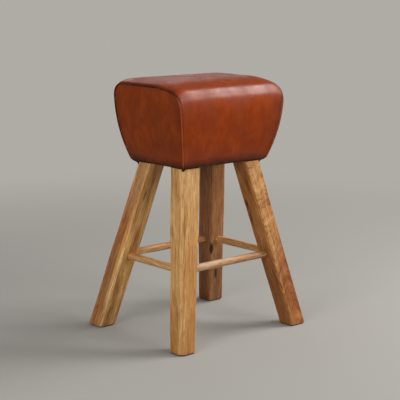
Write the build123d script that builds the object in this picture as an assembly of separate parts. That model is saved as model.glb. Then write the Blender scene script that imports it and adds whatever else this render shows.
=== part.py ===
from build123d import *
import math
import os

# Bar stool: a tapered leather seat box on four splayed wooden legs.
# Millimetres. Z is up from the floor. The seat is long in X and its front faces -Y.

# Leg frame
glide_thickness = 3.0
glide_inset = 3.0
leg_rise = 500.4
foot_spread_x = 225.1
foot_spread_y = 183.2
head_spread_x = 121.4
head_spread_y = 72.4
foot_size = 60.0
head_size = 66.0
foot_chamfer = 11.5
head_chamfer = 8.5
stretcher_diameter = 22.0
stretcher_height = 221.0
tenon_web = 1.8
tenon_clearance = 0.15

# Leather seat box, outside sizes. Heights are above the leather's underside.
seat_rise = 246.6
crown_rise = 13.5
crown_fall_length = 42.0
crown_seam_margin = 3.0
seat_top_length = 418.0
seat_foot_length = 330.0
end_upright_over_top = 9.4
seat_wide_depth = 290.0
seat_foot_depth = 224.0
side_upright_run = 3.0
bottom_round = 20.0
front_round = 50.0
back_round = 36.0
front_fall_run = 78.0
front_fall_angle = 15.0

# Upholstery layers
leather_thickness = 1.6
wadding_thickness = 3.0
wadding_hem_height = 12.0
layer_gap = 0.3
hem_width = 20.0
piping_diameter = 4.5
piping_sink = 1.0
piping_gap = 0.3
seam_trim = 2.0

# Plywood carcass
base_thickness = 18.0
wall_thickness = 12.0
top_board_thickness = 12.0
base_half_length = 146.0
base_half_depth = 92.5
top_half_length = 188.0
top_half_depth = 126.0
top_foam_thickness = 54.0
access_length = 150.0
access_depth = 70.0
access_round = 12.0

# Hanger bolts, washers and nuts
bolt_diameter = 8.0
bolt_in_leg = 55.0
bolt_beyond_nut = 2.0
bolt_clearance = 0.3
thread_clearance = 0.15
bolt_inset = 8.5
washer_diameter = 20.0
washer_thickness = 1.6
washer_room = 2.5
nut_flats = 13.0
nut_thickness = 6.5

# Wood screws
screw_length = 34.0
screw_diameter = 4.0
screw_head_diameter = 8.0
screw_head_height = 2.4
screw_sink = 2.2
screw_clearance = 0.1
screw_tip_length = 5.0
screw_shift = 1.6
screw_end_margin = 42.0
corner_screw_margin = 40.0
screws_per_long_wall = 3
screws_per_short_wall = 2

# Dust cover and staples
cover_thickness = 0.6
cover_leg_gap = 4.0
cover_lap = 12.0
staple_crown = 10.0
staple_wire_width = 1.2
staple_wire_thickness = 0.7
staple_leg_length = 8.0
staple_clearance = 0.1
staple_edge_distance = 4.0
long_side_staples = 5
short_side_staples = 3

# One overrun for every cut that passes a face
overrun = 5.0

# Shares of the crown's fall where the seat's cross-sections stand, from level top to seam
crown_shares = [0.0, 0.35, 0.62, 0.82, 0.94, 1.0]

# Shares of the seat's foot round, sides and upper corners where the piping's route has a point
foot_shares = [0.45, 0.2]
side_shares = [0.12, 0.28, 0.44, 0.6, 0.76, 0.9]
corner_shares = [0.1, 0.3, 0.5, 0.7, 0.9]
fall_shares = [0.25, 0.6, 1.0]
fillet_share = 0.45

# Corners of the stool as signs in X and Y
corners = {
    "front_left": (-1, -1),
    "front_right": (1, -1),
    "back_left": (-1, 1),
    "back_right": (1, 1),
}

# Heights that follow from the sizes above
underside = glide_thickness + leg_rise
seat_top = underside + seat_rise
seam_top = seat_top - crown_rise
base_bottom = underside + leather_thickness
base_top = base_bottom + base_thickness
top_board_top = seat_top - leather_thickness - wadding_thickness - 2 * layer_gap - top_foam_thickness
top_board_bottom = top_board_top - top_board_thickness

# Half sizes of the seat box, and where its crown starts and stops falling
end_reach = seat_top_length / 2
end_foot = seat_foot_length / 2
side_reach = seat_wide_depth / 2
side_foot = seat_foot_depth / 2
crown_end = end_reach - crown_seam_margin
crown_start = crown_end - crown_fall_length

# The slow fall at the front of the top, before the front corner's tighter arc
fall_angle = math.radians(front_fall_angle)
fall_radius = front_fall_run / math.sin(fall_angle)
fall_drop = fall_radius * (1 - math.cos(fall_angle))

# Heights where the big arcs of the ends and of the front and back stand upright
end_upright = seat_top + end_upright_over_top
side_upright = seam_top - fall_drop - front_round * math.cos(fall_angle) - side_upright_run

# Insets of the layers from the outside of the leather
wadding_inset = leather_thickness + layer_gap
foam_inset = wadding_inset + wadding_thickness + layer_gap

os.makedirs("parts", exist_ok=True)


def save(shape, name):
    export_step(shape, f"parts/{name}.step")


def on_circle(centre, radius, angle):
    return (centre[0] + radius * math.cos(angle), centre[1] + radius * math.sin(angle))


def box_between(low, high):
    """A box from its lowest to its highest corner."""
    size = [high[i] - low[i] for i in range(3)]
    centre = [(high[i] + low[i]) / 2 for i in range(3)]
    return Pos(*centre) * Box(*size)


def save_group(shapes, name):
    """Identical pieces in one node, each a separate solid."""
    save(Compound(children=[solid for shape in shapes for solid in shape.solids()]), name)


def rod(start, end, diameter):
    """A round bar from one point to another."""
    axis = Vector(*end) - Vector(*start)
    low = (Align.CENTER, Align.CENTER, Align.MIN)
    return Plane(origin=start, z_dir=axis) * Cylinder(diameter / 2, axis.length, align=low)


def in_corner(shape, side_x, side_y):
    """A shape made at the back right corner, mirrored to another corner."""
    if side_x < 0:
        shape = mirror(shape, about=Plane.YZ)
    if side_y < 0:
        shape = mirror(shape, about=Plane.XZ)
    return shape


# The big arcs of the seat's ends and sides. Each stands upright at its upper height.


def arc_radius(upright, reach, foot):
    rise = upright - underside
    run = reach - foot
    return (rise * rise + run * run) / (2 * run)


end_radius = arc_radius(end_upright, end_reach, end_foot)
side_radius = arc_radius(side_upright, side_reach, side_foot)


def end_across(height, inset):
    """Half-length of the seat at a height, moved in by the inset."""
    inner = end_radius - inset
    return end_reach - end_radius + math.sqrt(inner * inner - (height - end_upright) ** 2)


def side_across(height, inset):
    """Half-depth of the seat at a height below the upper corners, moved in by the inset."""
    inner = side_radius - inset
    return side_reach - side_radius + math.sqrt(inner * inner - (height - side_upright) ** 2)


def foot_round(radius, upright, reach, inset, floor):
    """Centre of the round at the foot of a side, and the angle where it meets the big arc."""
    rounding = bottom_round - inset
    up = floor + rounding
    span = radius - inset - rounding
    across = reach - radius + math.sqrt(span * span - (upright - up) ** 2)
    meets = math.atan2(up - upright, across - (reach - radius))
    return (across, up), rounding, meets


def end_foot_round(inset, floor):
    return foot_round(end_radius, end_upright, end_reach, inset, floor)


def side_foot_round(inset, floor):
    return foot_round(side_radius, side_upright, side_reach, inset, floor)


def round_points(centre, rounding, meets):
    """Lowest point, middle and upper end of a foot round."""
    down = -math.pi / 2
    return [on_circle(centre, rounding, angle) for angle in (down, (down + meets) / 2, meets)]


def upper_corners(top, inset):
    """Centres of the slow front fall, the front corner and the back corner under a top level."""
    front = front_round - inset
    back = back_round - inset
    front_across = -(side_reach - front_round)
    slow = (front_across + (fall_radius - front_round) * math.sin(fall_angle), top - fall_radius + inset)
    corner = (front_across, slow[1] + (fall_radius - front_round) * math.cos(fall_angle))
    rear = (side_reach - back_round, top - back)
    return slow, corner, front, rear, back


def seat_section(x, inset, floor):
    """Cross-section of the seat box: bottom, foot rounds, side arcs, upper corners and top."""
    fall = min(max(abs(x) - crown_start, 0) / (crown_fall_length - inset), 1)
    top = seam_top - inset + crown_rise * math.sqrt(1 - fall * fall)
    low, low_mid, high = round_points(*side_foot_round(inset, floor))
    reach = side_reach - inset
    mid_height = (high[1] + side_upright) / 2
    mid_across = side_across(mid_height, inset)
    slow, corner, front, rear, back = upper_corners(top, inset)
    lean = math.pi / 2 + fall_angle
    slow_radius = fall_radius - inset
    corner_top = on_circle(corner, front, lean)
    slow_top = (slow[0], top)
    outline = [
        Line((-low[0], floor), (low[0], floor)),
        ThreePointArc(low, low_mid, high),
        ThreePointArc(high, (mid_across, mid_height), (reach, side_upright)),
        Line((reach, side_upright), (reach, rear[1])),
        ThreePointArc((reach, rear[1]), on_circle(rear, back, math.pi / 4), (rear[0], top)),
        Line((rear[0], top), slow_top),
        ThreePointArc(slow_top, on_circle(slow, slow_radius, (math.pi / 2 + lean) / 2), corner_top),
        ThreePointArc(corner_top, on_circle(corner, front, (lean + math.pi) / 2), (-reach, corner[1])),
        Line((-reach, corner[1]), (-reach, side_upright)),
        ThreePointArc((-reach, side_upright), (-mid_across, mid_height), (-high[0], high[1])),
        ThreePointArc((-high[0], high[1]), (-low_mid[0], low_mid[1]), (-low[0], floor)),
    ]
    plane = Plane(origin=(x, 0, 0), x_dir=(0, 1, 0), z_dir=(1, 0, 0))
    return plane * make_face(Curve() + outline)


def end_profile(inset, floor):
    """The seat box seen from the front, with its leaning ends, as a block along Y."""
    low, low_mid, high = round_points(*end_foot_round(inset, floor))
    over = seat_top + overrun
    over_across = end_across(over, inset)
    mid_height = (high[1] + over) / 2
    mid_across = end_across(mid_height, inset)
    outline = [
        Line((-low[0], floor), (low[0], floor)),
        ThreePointArc(low, low_mid, high),
        ThreePointArc(high, (mid_across, mid_height), (over_across, over)),
        Line((over_across, over), (-over_across, over)),
        ThreePointArc((-over_across, over), (-mid_across, mid_height), (-high[0], high[1])),
        ThreePointArc((-high[0], high[1]), (-low_mid[0], low_mid[1]), (-low[0], floor)),
    ]
    face = Plane(origin=(0, 0, 0), x_dir=(1, 0, 0), z_dir=(0, -1, 0)) * make_face(Curve() + outline)
    return extrude(face, amount=side_reach + overrun, both=True)


def long_block(inset, floor):
    """The crowned seat box before its ends are shaped, moved in from the leather's outside."""
    run = crown_fall_length - inset
    sections = [seat_section(crown_start + share * run, inset, floor) for share in crown_shares]
    fall = loft(sections)
    tail = extrude(sections[-1], amount=crown_seam_margin + inset + overrun)
    middle = extrude(seat_section(-crown_start, inset, floor), amount=2 * crown_start)
    return middle + fall + tail + mirror(fall, about=Plane.YZ) + mirror(tail, about=Plane.YZ)


def seat_block(inset, floor):
    """The crowned seat box with drawn-in sides and ends."""
    return long_block(inset, floor) & end_profile(inset, floor)


def seam_route():
    """Points of the piping's route round the right end, from its front foot to its back foot."""
    centre, rounding, meets = side_foot_round(piping_sink, underside + piping_sink)
    end_centre, end_rounding, end_meets = end_foot_round(piping_sink, underside + piping_sink)
    foot = []
    for share in foot_shares:
        angle = meets - share * (meets + math.pi / 2)
        across, up = on_circle(centre, rounding, angle)
        foot.append((on_circle(end_centre, end_rounding, angle)[0], across, up))
    start = on_circle(centre, rounding, meets)[1]
    side = []
    for share in side_shares:
        up = start + share * (side_upright - start)
        side.append((end_across(up, piping_sink), side_across(up, piping_sink), up))
    slow, corner, front, rear, back = upper_corners(seam_top - piping_sink, piping_sink)
    lean = math.pi / 2 + fall_angle
    turns = [on_circle(corner, front, math.pi - share * (math.pi - lean)) for share in corner_shares]
    slow_radius = fall_radius - piping_sink
    turns += [on_circle(slow, slow_radius, lean - share * fall_angle) for share in fall_shares]
    turns += [on_circle(rear, back, math.pi / 2 * (1 - share)) for share in corner_shares]
    over = [(end_across(up, piping_sink), across, up) for across, up in turns]
    front_rise = [(x, -across, up) for x, across, up in foot + side]
    back_fall = [(x, across, up) for x, across, up in reversed(foot + side)]
    return front_rise + over + back_fall


def rounded_path(points):
    """Straight runs joined by tangent arcs, each as large as its two runs allow."""
    spots = [Vector(*point) for point in points]
    radii = []
    for before, spot, after in zip(spots, spots[1:], spots[2:]):
        turn = math.radians((spot - before).get_angle(after - spot))
        shorter = min((spot - before).length, (after - spot).length)
        radii.append(fillet_share * shorter / math.tan(turn / 2))
    return FilletPolyline(*spots, radius=radii)


def tube(path, diameter):
    start = Plane(origin=path @ 0, z_dir=path % 0)
    return sweep(start * Circle(diameter / 2), path=path)


# Wooden legs. Their sections stay square to X and Y while the leg leans out.


def leg_axis(height):
    """Half-spreads of the leg axes in X and Y at a height."""
    share = (height - glide_thickness) / leg_rise
    x = foot_spread_x + share * (head_spread_x - foot_spread_x)
    y = foot_spread_y + share * (head_spread_y - foot_spread_y)
    return x, y


def leg_section(height, size, cut):
    square = Rectangle(size, size)
    return Pos(*leg_axis(height), height) * chamfer(square.vertices(), length=cut)


foot_section = leg_section(glide_thickness, foot_size, foot_chamfer)
head_section = leg_section(underside, head_size, head_chamfer)
leg_wood = loft([foot_section, head_section], ruled=True)

# Stretchers stop short of each other inside the leg by the tenon web
rail_x, rail_y = leg_axis(stretcher_height)
rail_share = (stretcher_height - glide_thickness) / leg_rise
rail_half_leg = (foot_size + rail_share * (head_size - foot_size)) / 2
tenon_depth = rail_half_leg - stretcher_diameter / 2 - tenon_web
tenon_x = rail_x - rail_half_leg + tenon_depth
tenon_y = rail_y - rail_half_leg + tenon_depth
mortise_diameter = stretcher_diameter + 2 * tenon_clearance
mouth = tenon_depth + overrun
mortise_x = rod(
    (tenon_x - mouth, rail_y, stretcher_height),
    (tenon_x + tenon_clearance, rail_y, stretcher_height),
    mortise_diameter,
)
mortise_y = rod(
    (rail_x, tenon_y - mouth, stretcher_height),
    (rail_x, tenon_y + tenon_clearance, stretcher_height),
    mortise_diameter,
)

# Hanger bolts run straight up from the legs' heads through the base board
bolt_x = head_spread_x - bolt_inset
bolt_y = head_spread_y - bolt_inset
bolt_foot = underside - bolt_in_leg
nut_seat = base_top + washer_thickness
bolt_top = nut_seat + nut_thickness + bolt_beyond_nut
bolt = rod((bolt_x, bolt_y, bolt_foot), (bolt_x, bolt_y, bolt_top), bolt_diameter)
threaded_hole = rod(
    (bolt_x, bolt_y, bolt_foot - thread_clearance),
    (bolt_x, bolt_y, bolt_top + overrun),
    bolt_diameter + 2 * thread_clearance,
)
free_hole = rod(
    (bolt_x, bolt_y, underside - overrun),
    (bolt_x, bolt_y, bolt_top),
    bolt_diameter + 2 * bolt_clearance,
)
washer = rod((bolt_x, bolt_y, base_top), (bolt_x, bolt_y, nut_seat), washer_diameter) - free_hole
hexagon = RegularPolygon(radius=nut_flats / 2, side_count=6, major_radius=False)
nut = extrude(Pos(bolt_x, bolt_y, nut_seat) * hexagon, amount=nut_thickness) - threaded_hole

drilled_leg = leg_wood - mortise_x - mortise_y - threaded_hole
glide_size = foot_size - 2 * glide_inset
glide_face = chamfer(Rectangle(glide_size, glide_size).vertices(), length=foot_chamfer - glide_inset)
glide = extrude(Pos(foot_spread_x, foot_spread_y) * glide_face, amount=glide_thickness)

for place, (side_x, side_y) in corners.items():
    save(in_corner(drilled_leg, side_x, side_y), f"leg_{place}")
    save(in_corner(glide, side_x, side_y), f"glide_{place}")

long_ends = [(side * tenon_x, rail_y, stretcher_height) for side in (-1, 1)]
short_ends = [(rail_x, side * tenon_y, stretcher_height) for side in (-1, 1)]
long_rail = rod(*long_ends, stretcher_diameter)
short_rail = rod(*short_ends, stretcher_diameter)
save(mirror(long_rail, about=Plane.XZ), "stretcher_front")
save(long_rail, "stretcher_back")
save(mirror(short_rail, about=Plane.YZ), "stretcher_left")
save(short_rail, "stretcher_right")

save_group([in_corner(bolt, *sides) for sides in corners.values()], "hanger_bolts")
save_group([in_corner(washer, *sides) for sides in corners.values()], "bolt_washers")
save_group([in_corner(nut, *sides) for sides in corners.values()], "bolt_nuts")

# Plywood carcass. Its walls lean out from the base board to the top board.
wall_rise = top_board_bottom - base_top
lean_x = (top_half_length - base_half_length) / wall_rise
lean_y = (top_half_depth - base_half_depth) / wall_rise


def carcass_half(height):
    """Half-length and half-depth of the leaning walls' outer faces at a height."""
    rise = height - base_top
    return base_half_length + lean_x * rise, base_half_depth + lean_y * rise


def wall_block(extra_x, extra_y, over):
    """The leaning block inside the walls' outer faces, grown sideways and run past its ends."""
    faces = []
    for height in (base_top - over, top_board_bottom + over):
        half_x, half_y = carcass_half(height)
        faces.append(Pos(0, 0, height) * Rectangle(2 * (half_x + extra_x), 2 * (half_y + extra_y)))
    return loft(faces, ruled=True)


def board(half_length, half_depth, low, high):
    return box_between((-half_length, -half_depth, low), (half_length, half_depth, high))


def carcass_block(extra_x, extra_y):
    """Base board, walls and top board as one block, grown sideways."""
    base = board(base_half_length + extra_x, base_half_depth + extra_y, base_bottom - overrun, base_top)
    top_high = top_board_top + overrun
    top = board(top_half_length + extra_x, top_half_depth + extra_y, top_board_bottom, top_high)
    return base + wall_block(extra_x, extra_y, 0) + top


def screw(start, direction):
    """A countersunk wood screw, from the middle of its head's face."""
    straight = screw_length - screw_head_height - screw_tip_length
    low = (Align.CENTER, Align.CENTER, Align.MIN)
    radius = screw_diameter / 2
    head = Cone(screw_head_diameter / 2, radius, screw_head_height, align=low)
    shank = Pos(0, 0, screw_head_height) * Cylinder(radius, straight, align=low)
    tip = Pos(0, 0, screw_head_height + straight) * Cone(radius, 0, screw_tip_length, align=low)
    return Plane(origin=start, z_dir=direction) * (head + shank + tip)


def screw_hole(start, direction):
    """The room that a screw takes, open past its head."""
    low = (Align.CENTER, Align.CENTER, Align.MIN)
    high = (Align.CENTER, Align.CENTER, Align.MAX)
    reach = screw_length + screw_clearance
    shank = Cylinder(screw_diameter / 2 + screw_clearance, reach, align=low)
    wide = screw_head_diameter / 2 + screw_clearance
    sink = Cone(wide, screw_diameter / 2, screw_head_height + screw_clearance, align=low)
    mouth = Cylinder(wide, screw_sink + overrun, align=high)
    return Plane(origin=start, z_dir=direction) * (shank + sink + mouth)


def spread(count, reach):
    """Places from minus to plus a reach, evenly spaced."""
    return [reach * (2 * i / (count - 1) - 1) for i in range(count)]


def wall_screws(height, rise):
    """Places and directions of the screws that run along the walls from one of the boards."""
    half_x, half_y = carcass_half(height)
    places = []
    for side in (-1, 1):
        for x in spread(screws_per_long_wall, base_half_length - wall_thickness - screw_end_margin):
            start = (x, side * (half_y - wall_thickness / 2 - screw_shift), height)
            places.append((start, (0, side * lean_y * rise, rise)))
        for y in spread(screws_per_short_wall, base_half_depth - wall_thickness - screw_end_margin):
            start = (side * (half_x - wall_thickness / 2 - screw_shift), y, height)
            places.append((start, (side * lean_x * rise, 0, rise)))
    return places


base_screws = wall_screws(base_bottom + screw_sink, 1)
top_screws = wall_screws(top_board_top - screw_sink, -1)
corner_screws = []
for height in (base_top + corner_screw_margin, top_board_bottom - corner_screw_margin):
    half_x, half_y = carcass_half(height)
    for side_x, side_y in corners.values():
        start = (side_x * (half_x - screw_sink), side_y * (half_y - wall_thickness / 2), height)
        corner_screws.append((start, (-side_x, 0, 0)))


def cut_screws(shape, *groups):
    for group in groups:
        for start, direction in group:
            shape -= screw_hole(start, direction)
    return shape


access = extrude(
    Pos(0, 0, base_bottom - overrun) * RectangleRounded(access_length, access_depth, access_round),
    amount=base_thickness + 2 * overrun,
)
base_board = board(base_half_length, base_half_depth, base_bottom, base_top) - access
for sides in corners.values():
    base_board -= in_corner(free_hole, *sides)
base_board = cut_screws(base_board, base_screws)
top_board = cut_screws(board(top_half_length, top_half_depth, top_board_bottom, top_board_top), top_screws)

beyond = end_reach
end_walls = wall_block(0, 0, 0) - wall_block(-wall_thickness, beyond, overrun)
long_walls = wall_block(-wall_thickness, 0, 0) - wall_block(beyond, -wall_thickness, overrun)
end_walls = cut_screws(end_walls, base_screws, top_screws, corner_screws)
long_walls = cut_screws(long_walls, base_screws, top_screws, corner_screws)
wall_left, wall_right = end_walls.solids().sort_by(Axis.X)
wall_front, wall_back = long_walls.solids().sort_by(Axis.Y)

# The corner blocks leave room for the bolts' washers
inner_corner_x = base_half_length - wall_thickness
inner_corner_y = base_half_depth - wall_thickness
to_bolt = (inner_corner_x - bolt_x + inner_corner_y - bolt_y) * math.sqrt(0.5)
corner_block_leg = (to_bolt - washer_diameter / 2 - washer_room) * math.sqrt(2)
block_faces = []
for height in (base_top, top_board_bottom):
    half_x, half_y = carcass_half(height)
    x = half_x - wall_thickness
    y = half_y - wall_thickness
    edge = Polyline((x, y), (x - corner_block_leg, y), (x, y - corner_block_leg), (x, y))
    block_faces.append(Pos(0, 0, height) * make_face(edge))
corner_block = loft(block_faces, ruled=True)

save(top_board, "top_board")
save(wall_front, "wall_front")
save(wall_back, "wall_back")
save(wall_left, "wall_left")
save(wall_right, "wall_right")
for place, sides in corners.items():
    save(in_corner(corner_block, *sides), f"corner_block_{place}")
save_group([screw(*place) for place in base_screws], "base_screws")
save_group([screw(*place) for place in top_screws], "top_screws")
save_group([screw(*place) for place in corner_screws], "corner_screws")

# Piping round both ends of the seat, and the groove that it lies in
route = rounded_path(seam_route())
piping = tube(route, piping_diameter)
groove = tube(route, piping_diameter + 2 * piping_gap)
grooves = groove + mirror(groove, about=Plane.YZ)
save(mirror(piping, about=Plane.YZ), "piping_left")
save(piping, "piping_right")

# Foam: a crowned slab on top, and wraps that fill out the drawn-in sides
foam_block = seat_block(foam_inset, base_bottom)
beside = board(end_reach, side_reach, base_bottom - overrun, top_board_top - layer_gap)
above = board(end_reach, side_reach, top_board_top, seat_top + overrun)
side_foam = foam_block & beside
long_foam = side_foam - carcass_block(beyond, layer_gap)
end_foam = (side_foam & carcass_block(beyond, 0)) - carcass_block(layer_gap, beyond)
foam_front, foam_back = long_foam.solids().sort_by(Axis.Y)
foam_left, foam_right = end_foam.solids().sort_by(Axis.X)
save(foam_block & above, "foam_top")
save(foam_front, "foam_front")
save(foam_back, "foam_back")
save(foam_left, "foam_left")
save(foam_right, "foam_right")

# Wadding over all the foam, down to a little above the base board's underside
wadding_foot = board(end_reach, side_reach, base_bottom - overrun, base_bottom + wadding_hem_height)
wadding = seat_block(wadding_inset, base_bottom) - seat_block(foam_inset - layer_gap, base_bottom)
save(wadding - wadding_foot - grooves, "wadding")

# Leather: one wrap over front, top and back, and two end panels, all turned under at the foot
outer_block = seat_block(0, underside)
end_flat = end_foot_round(0, underside)[0][0]
side_flat = side_foot_round(0, underside)[0][0]
hem_x = end_flat - hem_width
hem_y = side_flat - hem_width
skirt_low = underside - overrun
skirt_high = base_bottom + overrun
under_opening = board(hem_x, hem_y, skirt_low, skirt_high)
inside_ends = end_profile(leather_thickness, base_bottom) + board(hem_x, side_reach, skirt_low, skirt_high)
wrap_room = end_profile(wadding_inset, base_bottom)
wrap_room += board(hem_x - layer_gap, side_reach, skirt_low, skirt_high)
seat_wrap = (outer_block - seat_block(leather_thickness, base_bottom)) & wrap_room
seat_wrap = seat_wrap - under_opening - grooves
end_panels = (long_block(seam_trim, underside) & end_profile(0, underside)) - inside_ends - grooves

# Dust cover under the seat, cut back round the legs' heads, and its staples
notch_x = head_spread_x - head_size / 2 - cover_leg_gap
notch_y = head_spread_y - head_size / 2 - cover_leg_gap
cover_x = hem_x + cover_lap
cover_y = hem_y + cover_lap
cover_bottom = underside - cover_thickness
dust_cover = board(cover_x, notch_y, cover_bottom, underside)
dust_cover += board(notch_x, cover_y, cover_bottom, underside)


def staple(x, y, along_x, grow):
    """A staple from below, with its crown along X or Y, grown on its sides and tips."""
    low = cover_bottom - staple_wire_thickness
    half_wire = staple_wire_width / 2 + grow
    half_crown = staple_crown / 2 + grow
    leg_inner = staple_crown / 2 - staple_wire_thickness - grow
    crown = box_between((-half_crown, -half_wire, low), (half_crown, half_wire, cover_bottom))
    tip = cover_bottom + staple_leg_length + grow
    leg = box_between((leg_inner, -half_wire, low), (half_crown, half_wire, tip))
    shape = crown + leg + mirror(leg, about=Plane.YZ)
    return Pos(x, y, 0) * Rot(0, 0, 0 if along_x else 90) * shape


staple_places = []
for side in (-1, 1):
    for x in spread(long_side_staples, notch_x - staple_crown):
        staple_places.append((x, side * (cover_y - staple_edge_distance), True))
    for y in spread(short_side_staples, notch_y - staple_crown):
        staple_places.append((side * (cover_x - staple_edge_distance), y, False))

staple_room = Compound(
    children=[solid for place in staple_places for solid in staple(*place, staple_clearance).solids()]
)
base_board -= staple_room
dust_cover -= staple_room
seat_wrap -= staple_room
end_panels -= staple_room
panel_left, panel_right = end_panels.solids().sort_by(Axis.X)
save(base_board, "base_board")
save(dust_cover, "dust_cover")
save(seat_wrap, "seat_wrap")
save(panel_left, "end_panel_left")
save(panel_right, "end_panel_right")
save_group([staple(*place, 0) for place in staple_places], "cover_staples")
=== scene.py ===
import math

import bmesh
import bpy
import numpy as np
from mathutils import Matrix, Quaternion, Vector, noise
from mathutils.bvhtree import BVHTree


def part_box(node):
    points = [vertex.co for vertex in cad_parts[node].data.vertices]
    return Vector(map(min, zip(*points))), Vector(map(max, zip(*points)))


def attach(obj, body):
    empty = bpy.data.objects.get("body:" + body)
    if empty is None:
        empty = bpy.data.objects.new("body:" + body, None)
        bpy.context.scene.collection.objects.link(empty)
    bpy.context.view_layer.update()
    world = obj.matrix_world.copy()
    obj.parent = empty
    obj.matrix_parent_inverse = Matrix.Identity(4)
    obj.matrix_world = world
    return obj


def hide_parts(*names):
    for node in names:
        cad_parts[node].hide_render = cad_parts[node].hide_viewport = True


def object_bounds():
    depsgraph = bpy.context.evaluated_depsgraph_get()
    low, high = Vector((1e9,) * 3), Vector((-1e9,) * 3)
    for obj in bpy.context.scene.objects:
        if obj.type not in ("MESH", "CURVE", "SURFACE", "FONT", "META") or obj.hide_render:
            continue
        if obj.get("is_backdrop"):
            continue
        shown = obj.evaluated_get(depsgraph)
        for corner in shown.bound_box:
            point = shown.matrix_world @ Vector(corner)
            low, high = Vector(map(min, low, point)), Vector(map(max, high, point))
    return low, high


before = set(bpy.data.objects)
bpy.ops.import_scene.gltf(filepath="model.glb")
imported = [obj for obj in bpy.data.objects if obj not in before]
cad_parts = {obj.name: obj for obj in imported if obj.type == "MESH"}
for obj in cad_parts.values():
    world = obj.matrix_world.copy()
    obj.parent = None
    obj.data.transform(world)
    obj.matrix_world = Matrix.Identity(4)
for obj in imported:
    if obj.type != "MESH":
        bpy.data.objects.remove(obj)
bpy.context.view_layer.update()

# Leg frame: four mango legs, sawn square with a slight taper, their long edges planed off by
# hand, then oiled. Each leans out both ways, stands flat on its foot, and is bolted up to the
# seat's base board. Two mortises take the stretchers and a hole in the head takes the bolt.
corner_signs = {"front_left": (-1, -1), "front_right": (1, -1), "back_left": (-1, 1), "back_right": (1, 1)}
leg_foot_height = 0.003
leg_head_height = 0.5034
leg_foot_spread = (0.2251, 0.1832)
leg_head_spread = (0.1214, 0.0724)
leg_foot_width = 0.060
leg_head_width = 0.066
leg_foot_chamfer = 0.0115
leg_head_chamfer = 0.0085
leg_edge_round = 0.0016
leg_foot_ease = 0.0030
leg_ease_rows = (0.0, 0.0008, 0.0018)
leg_row_step = 0.006
leg_face_steps = 6
leg_face_waver, leg_face_wave = 0.0005, 0.07
leg_chamfer_waver, leg_chamfer_wave = 0.0016, 0.16
wood_sharp_angle = math.radians(38)
stretcher_height = 0.221
stretcher_radius = 0.011
mortise_clearance = 0.00015
mortise_mouth = 0.0317
mortise_floor = 0.0190
bolt_spread = (0.1129, 0.0639)
bolt_hole_radius = 0.00415
bolt_hole_depth = 0.0552
drill_lead = 0.01


def into_scene(name, data):
    made = bpy.data.objects.new(name, data)
    bpy.context.scene.collection.objects.link(made)
    return made


def mesh_object(name, points, faces, smooth=True):
    mesh = bpy.data.meshes.new(name)
    mesh.from_pydata([tuple(point) for point in points], [], faces)
    mesh.validate()
    if smooth:
        mesh.shade_smooth()
    return into_scene(name, mesh)


def ring_faces(rings, count):
    """Faces of a rod drawn as rings of points, with both its ends closed."""
    faces = [(low + i, low + (i + 1) % count, low + count + (i + 1) % count, low + count + i)
             for low in range(0, (rings - 1) * count, count) for i in range(count)]
    return faces + [tuple(reversed(range(count))), tuple(range((rings - 1) * count, rings * count))]


def settle(piece):
    """Turns a piece with its modifiers into a plain mesh."""
    bpy.context.view_layer.update()
    shape = bpy.data.meshes.new_from_object(piece.evaluated_get(bpy.context.evaluated_depsgraph_get()))
    piece.modifiers.clear()
    piece.data = shape


def coordinates(piece, field="co"):
    """The place of each vertex, or its normal."""
    flat = np.zeros(len(piece.data.vertices) * 3, dtype=np.float32)
    piece.data.vertices.foreach_get(field, flat)
    return flat.reshape(-1, 3).astype(float)


def set_attribute(piece, name, values, kind="FLOAT"):
    """Gives each vertex a number or a vector, for the piece's material to read."""
    made = piece.data.attributes.new(name, kind, "POINT")
    field = "value" if kind == "FLOAT" else "vector"
    made.data.foreach_set(field, np.asarray(values, dtype=np.float32).ravel())


def waver(spot, size, seed):
    """A slow, repeatable swing between about -1 and 1."""
    return noise.noise(Vector(spot) / size + Vector((seed, 7.0 * seed, 3.0 * seed))) * 1.6


def drill(name, start, end, radius, sides=32):
    """A plain rod, for cutting a hole."""
    start, end = Vector(start), Vector(end)
    turn = (end - start).to_track_quat("Z", "Y").to_matrix().to_4x4()
    shape = bmesh.new()
    bmesh.ops.create_cone(shape, cap_ends=True, segments=sides, radius1=radius, radius2=radius,
                          depth=(end - start).length, matrix=Matrix.Translation((start + end) / 2) @ turn)
    mesh = bpy.data.meshes.new(name)
    shape.to_mesh(mesh)
    shape.free()
    return into_scene(name, mesh)


def cut_from(piece, cutters):
    for cutter in cutters:
        cut = piece.modifiers.new("hole", "BOOLEAN")
        cut.operation = "DIFFERENCE"
        cut.solver = "EXACT"
        cut.object = cutter
    settle(piece)
    for cutter in cutters:
        bpy.data.objects.remove(cutter)


def leg_axis(height):
    """Half-spreads of the leg axes at a height."""
    share = (height - leg_foot_height) / (leg_head_height - leg_foot_height)
    return [foot + share * (head - foot) for foot, head in zip(leg_foot_spread, leg_head_spread)]


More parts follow.
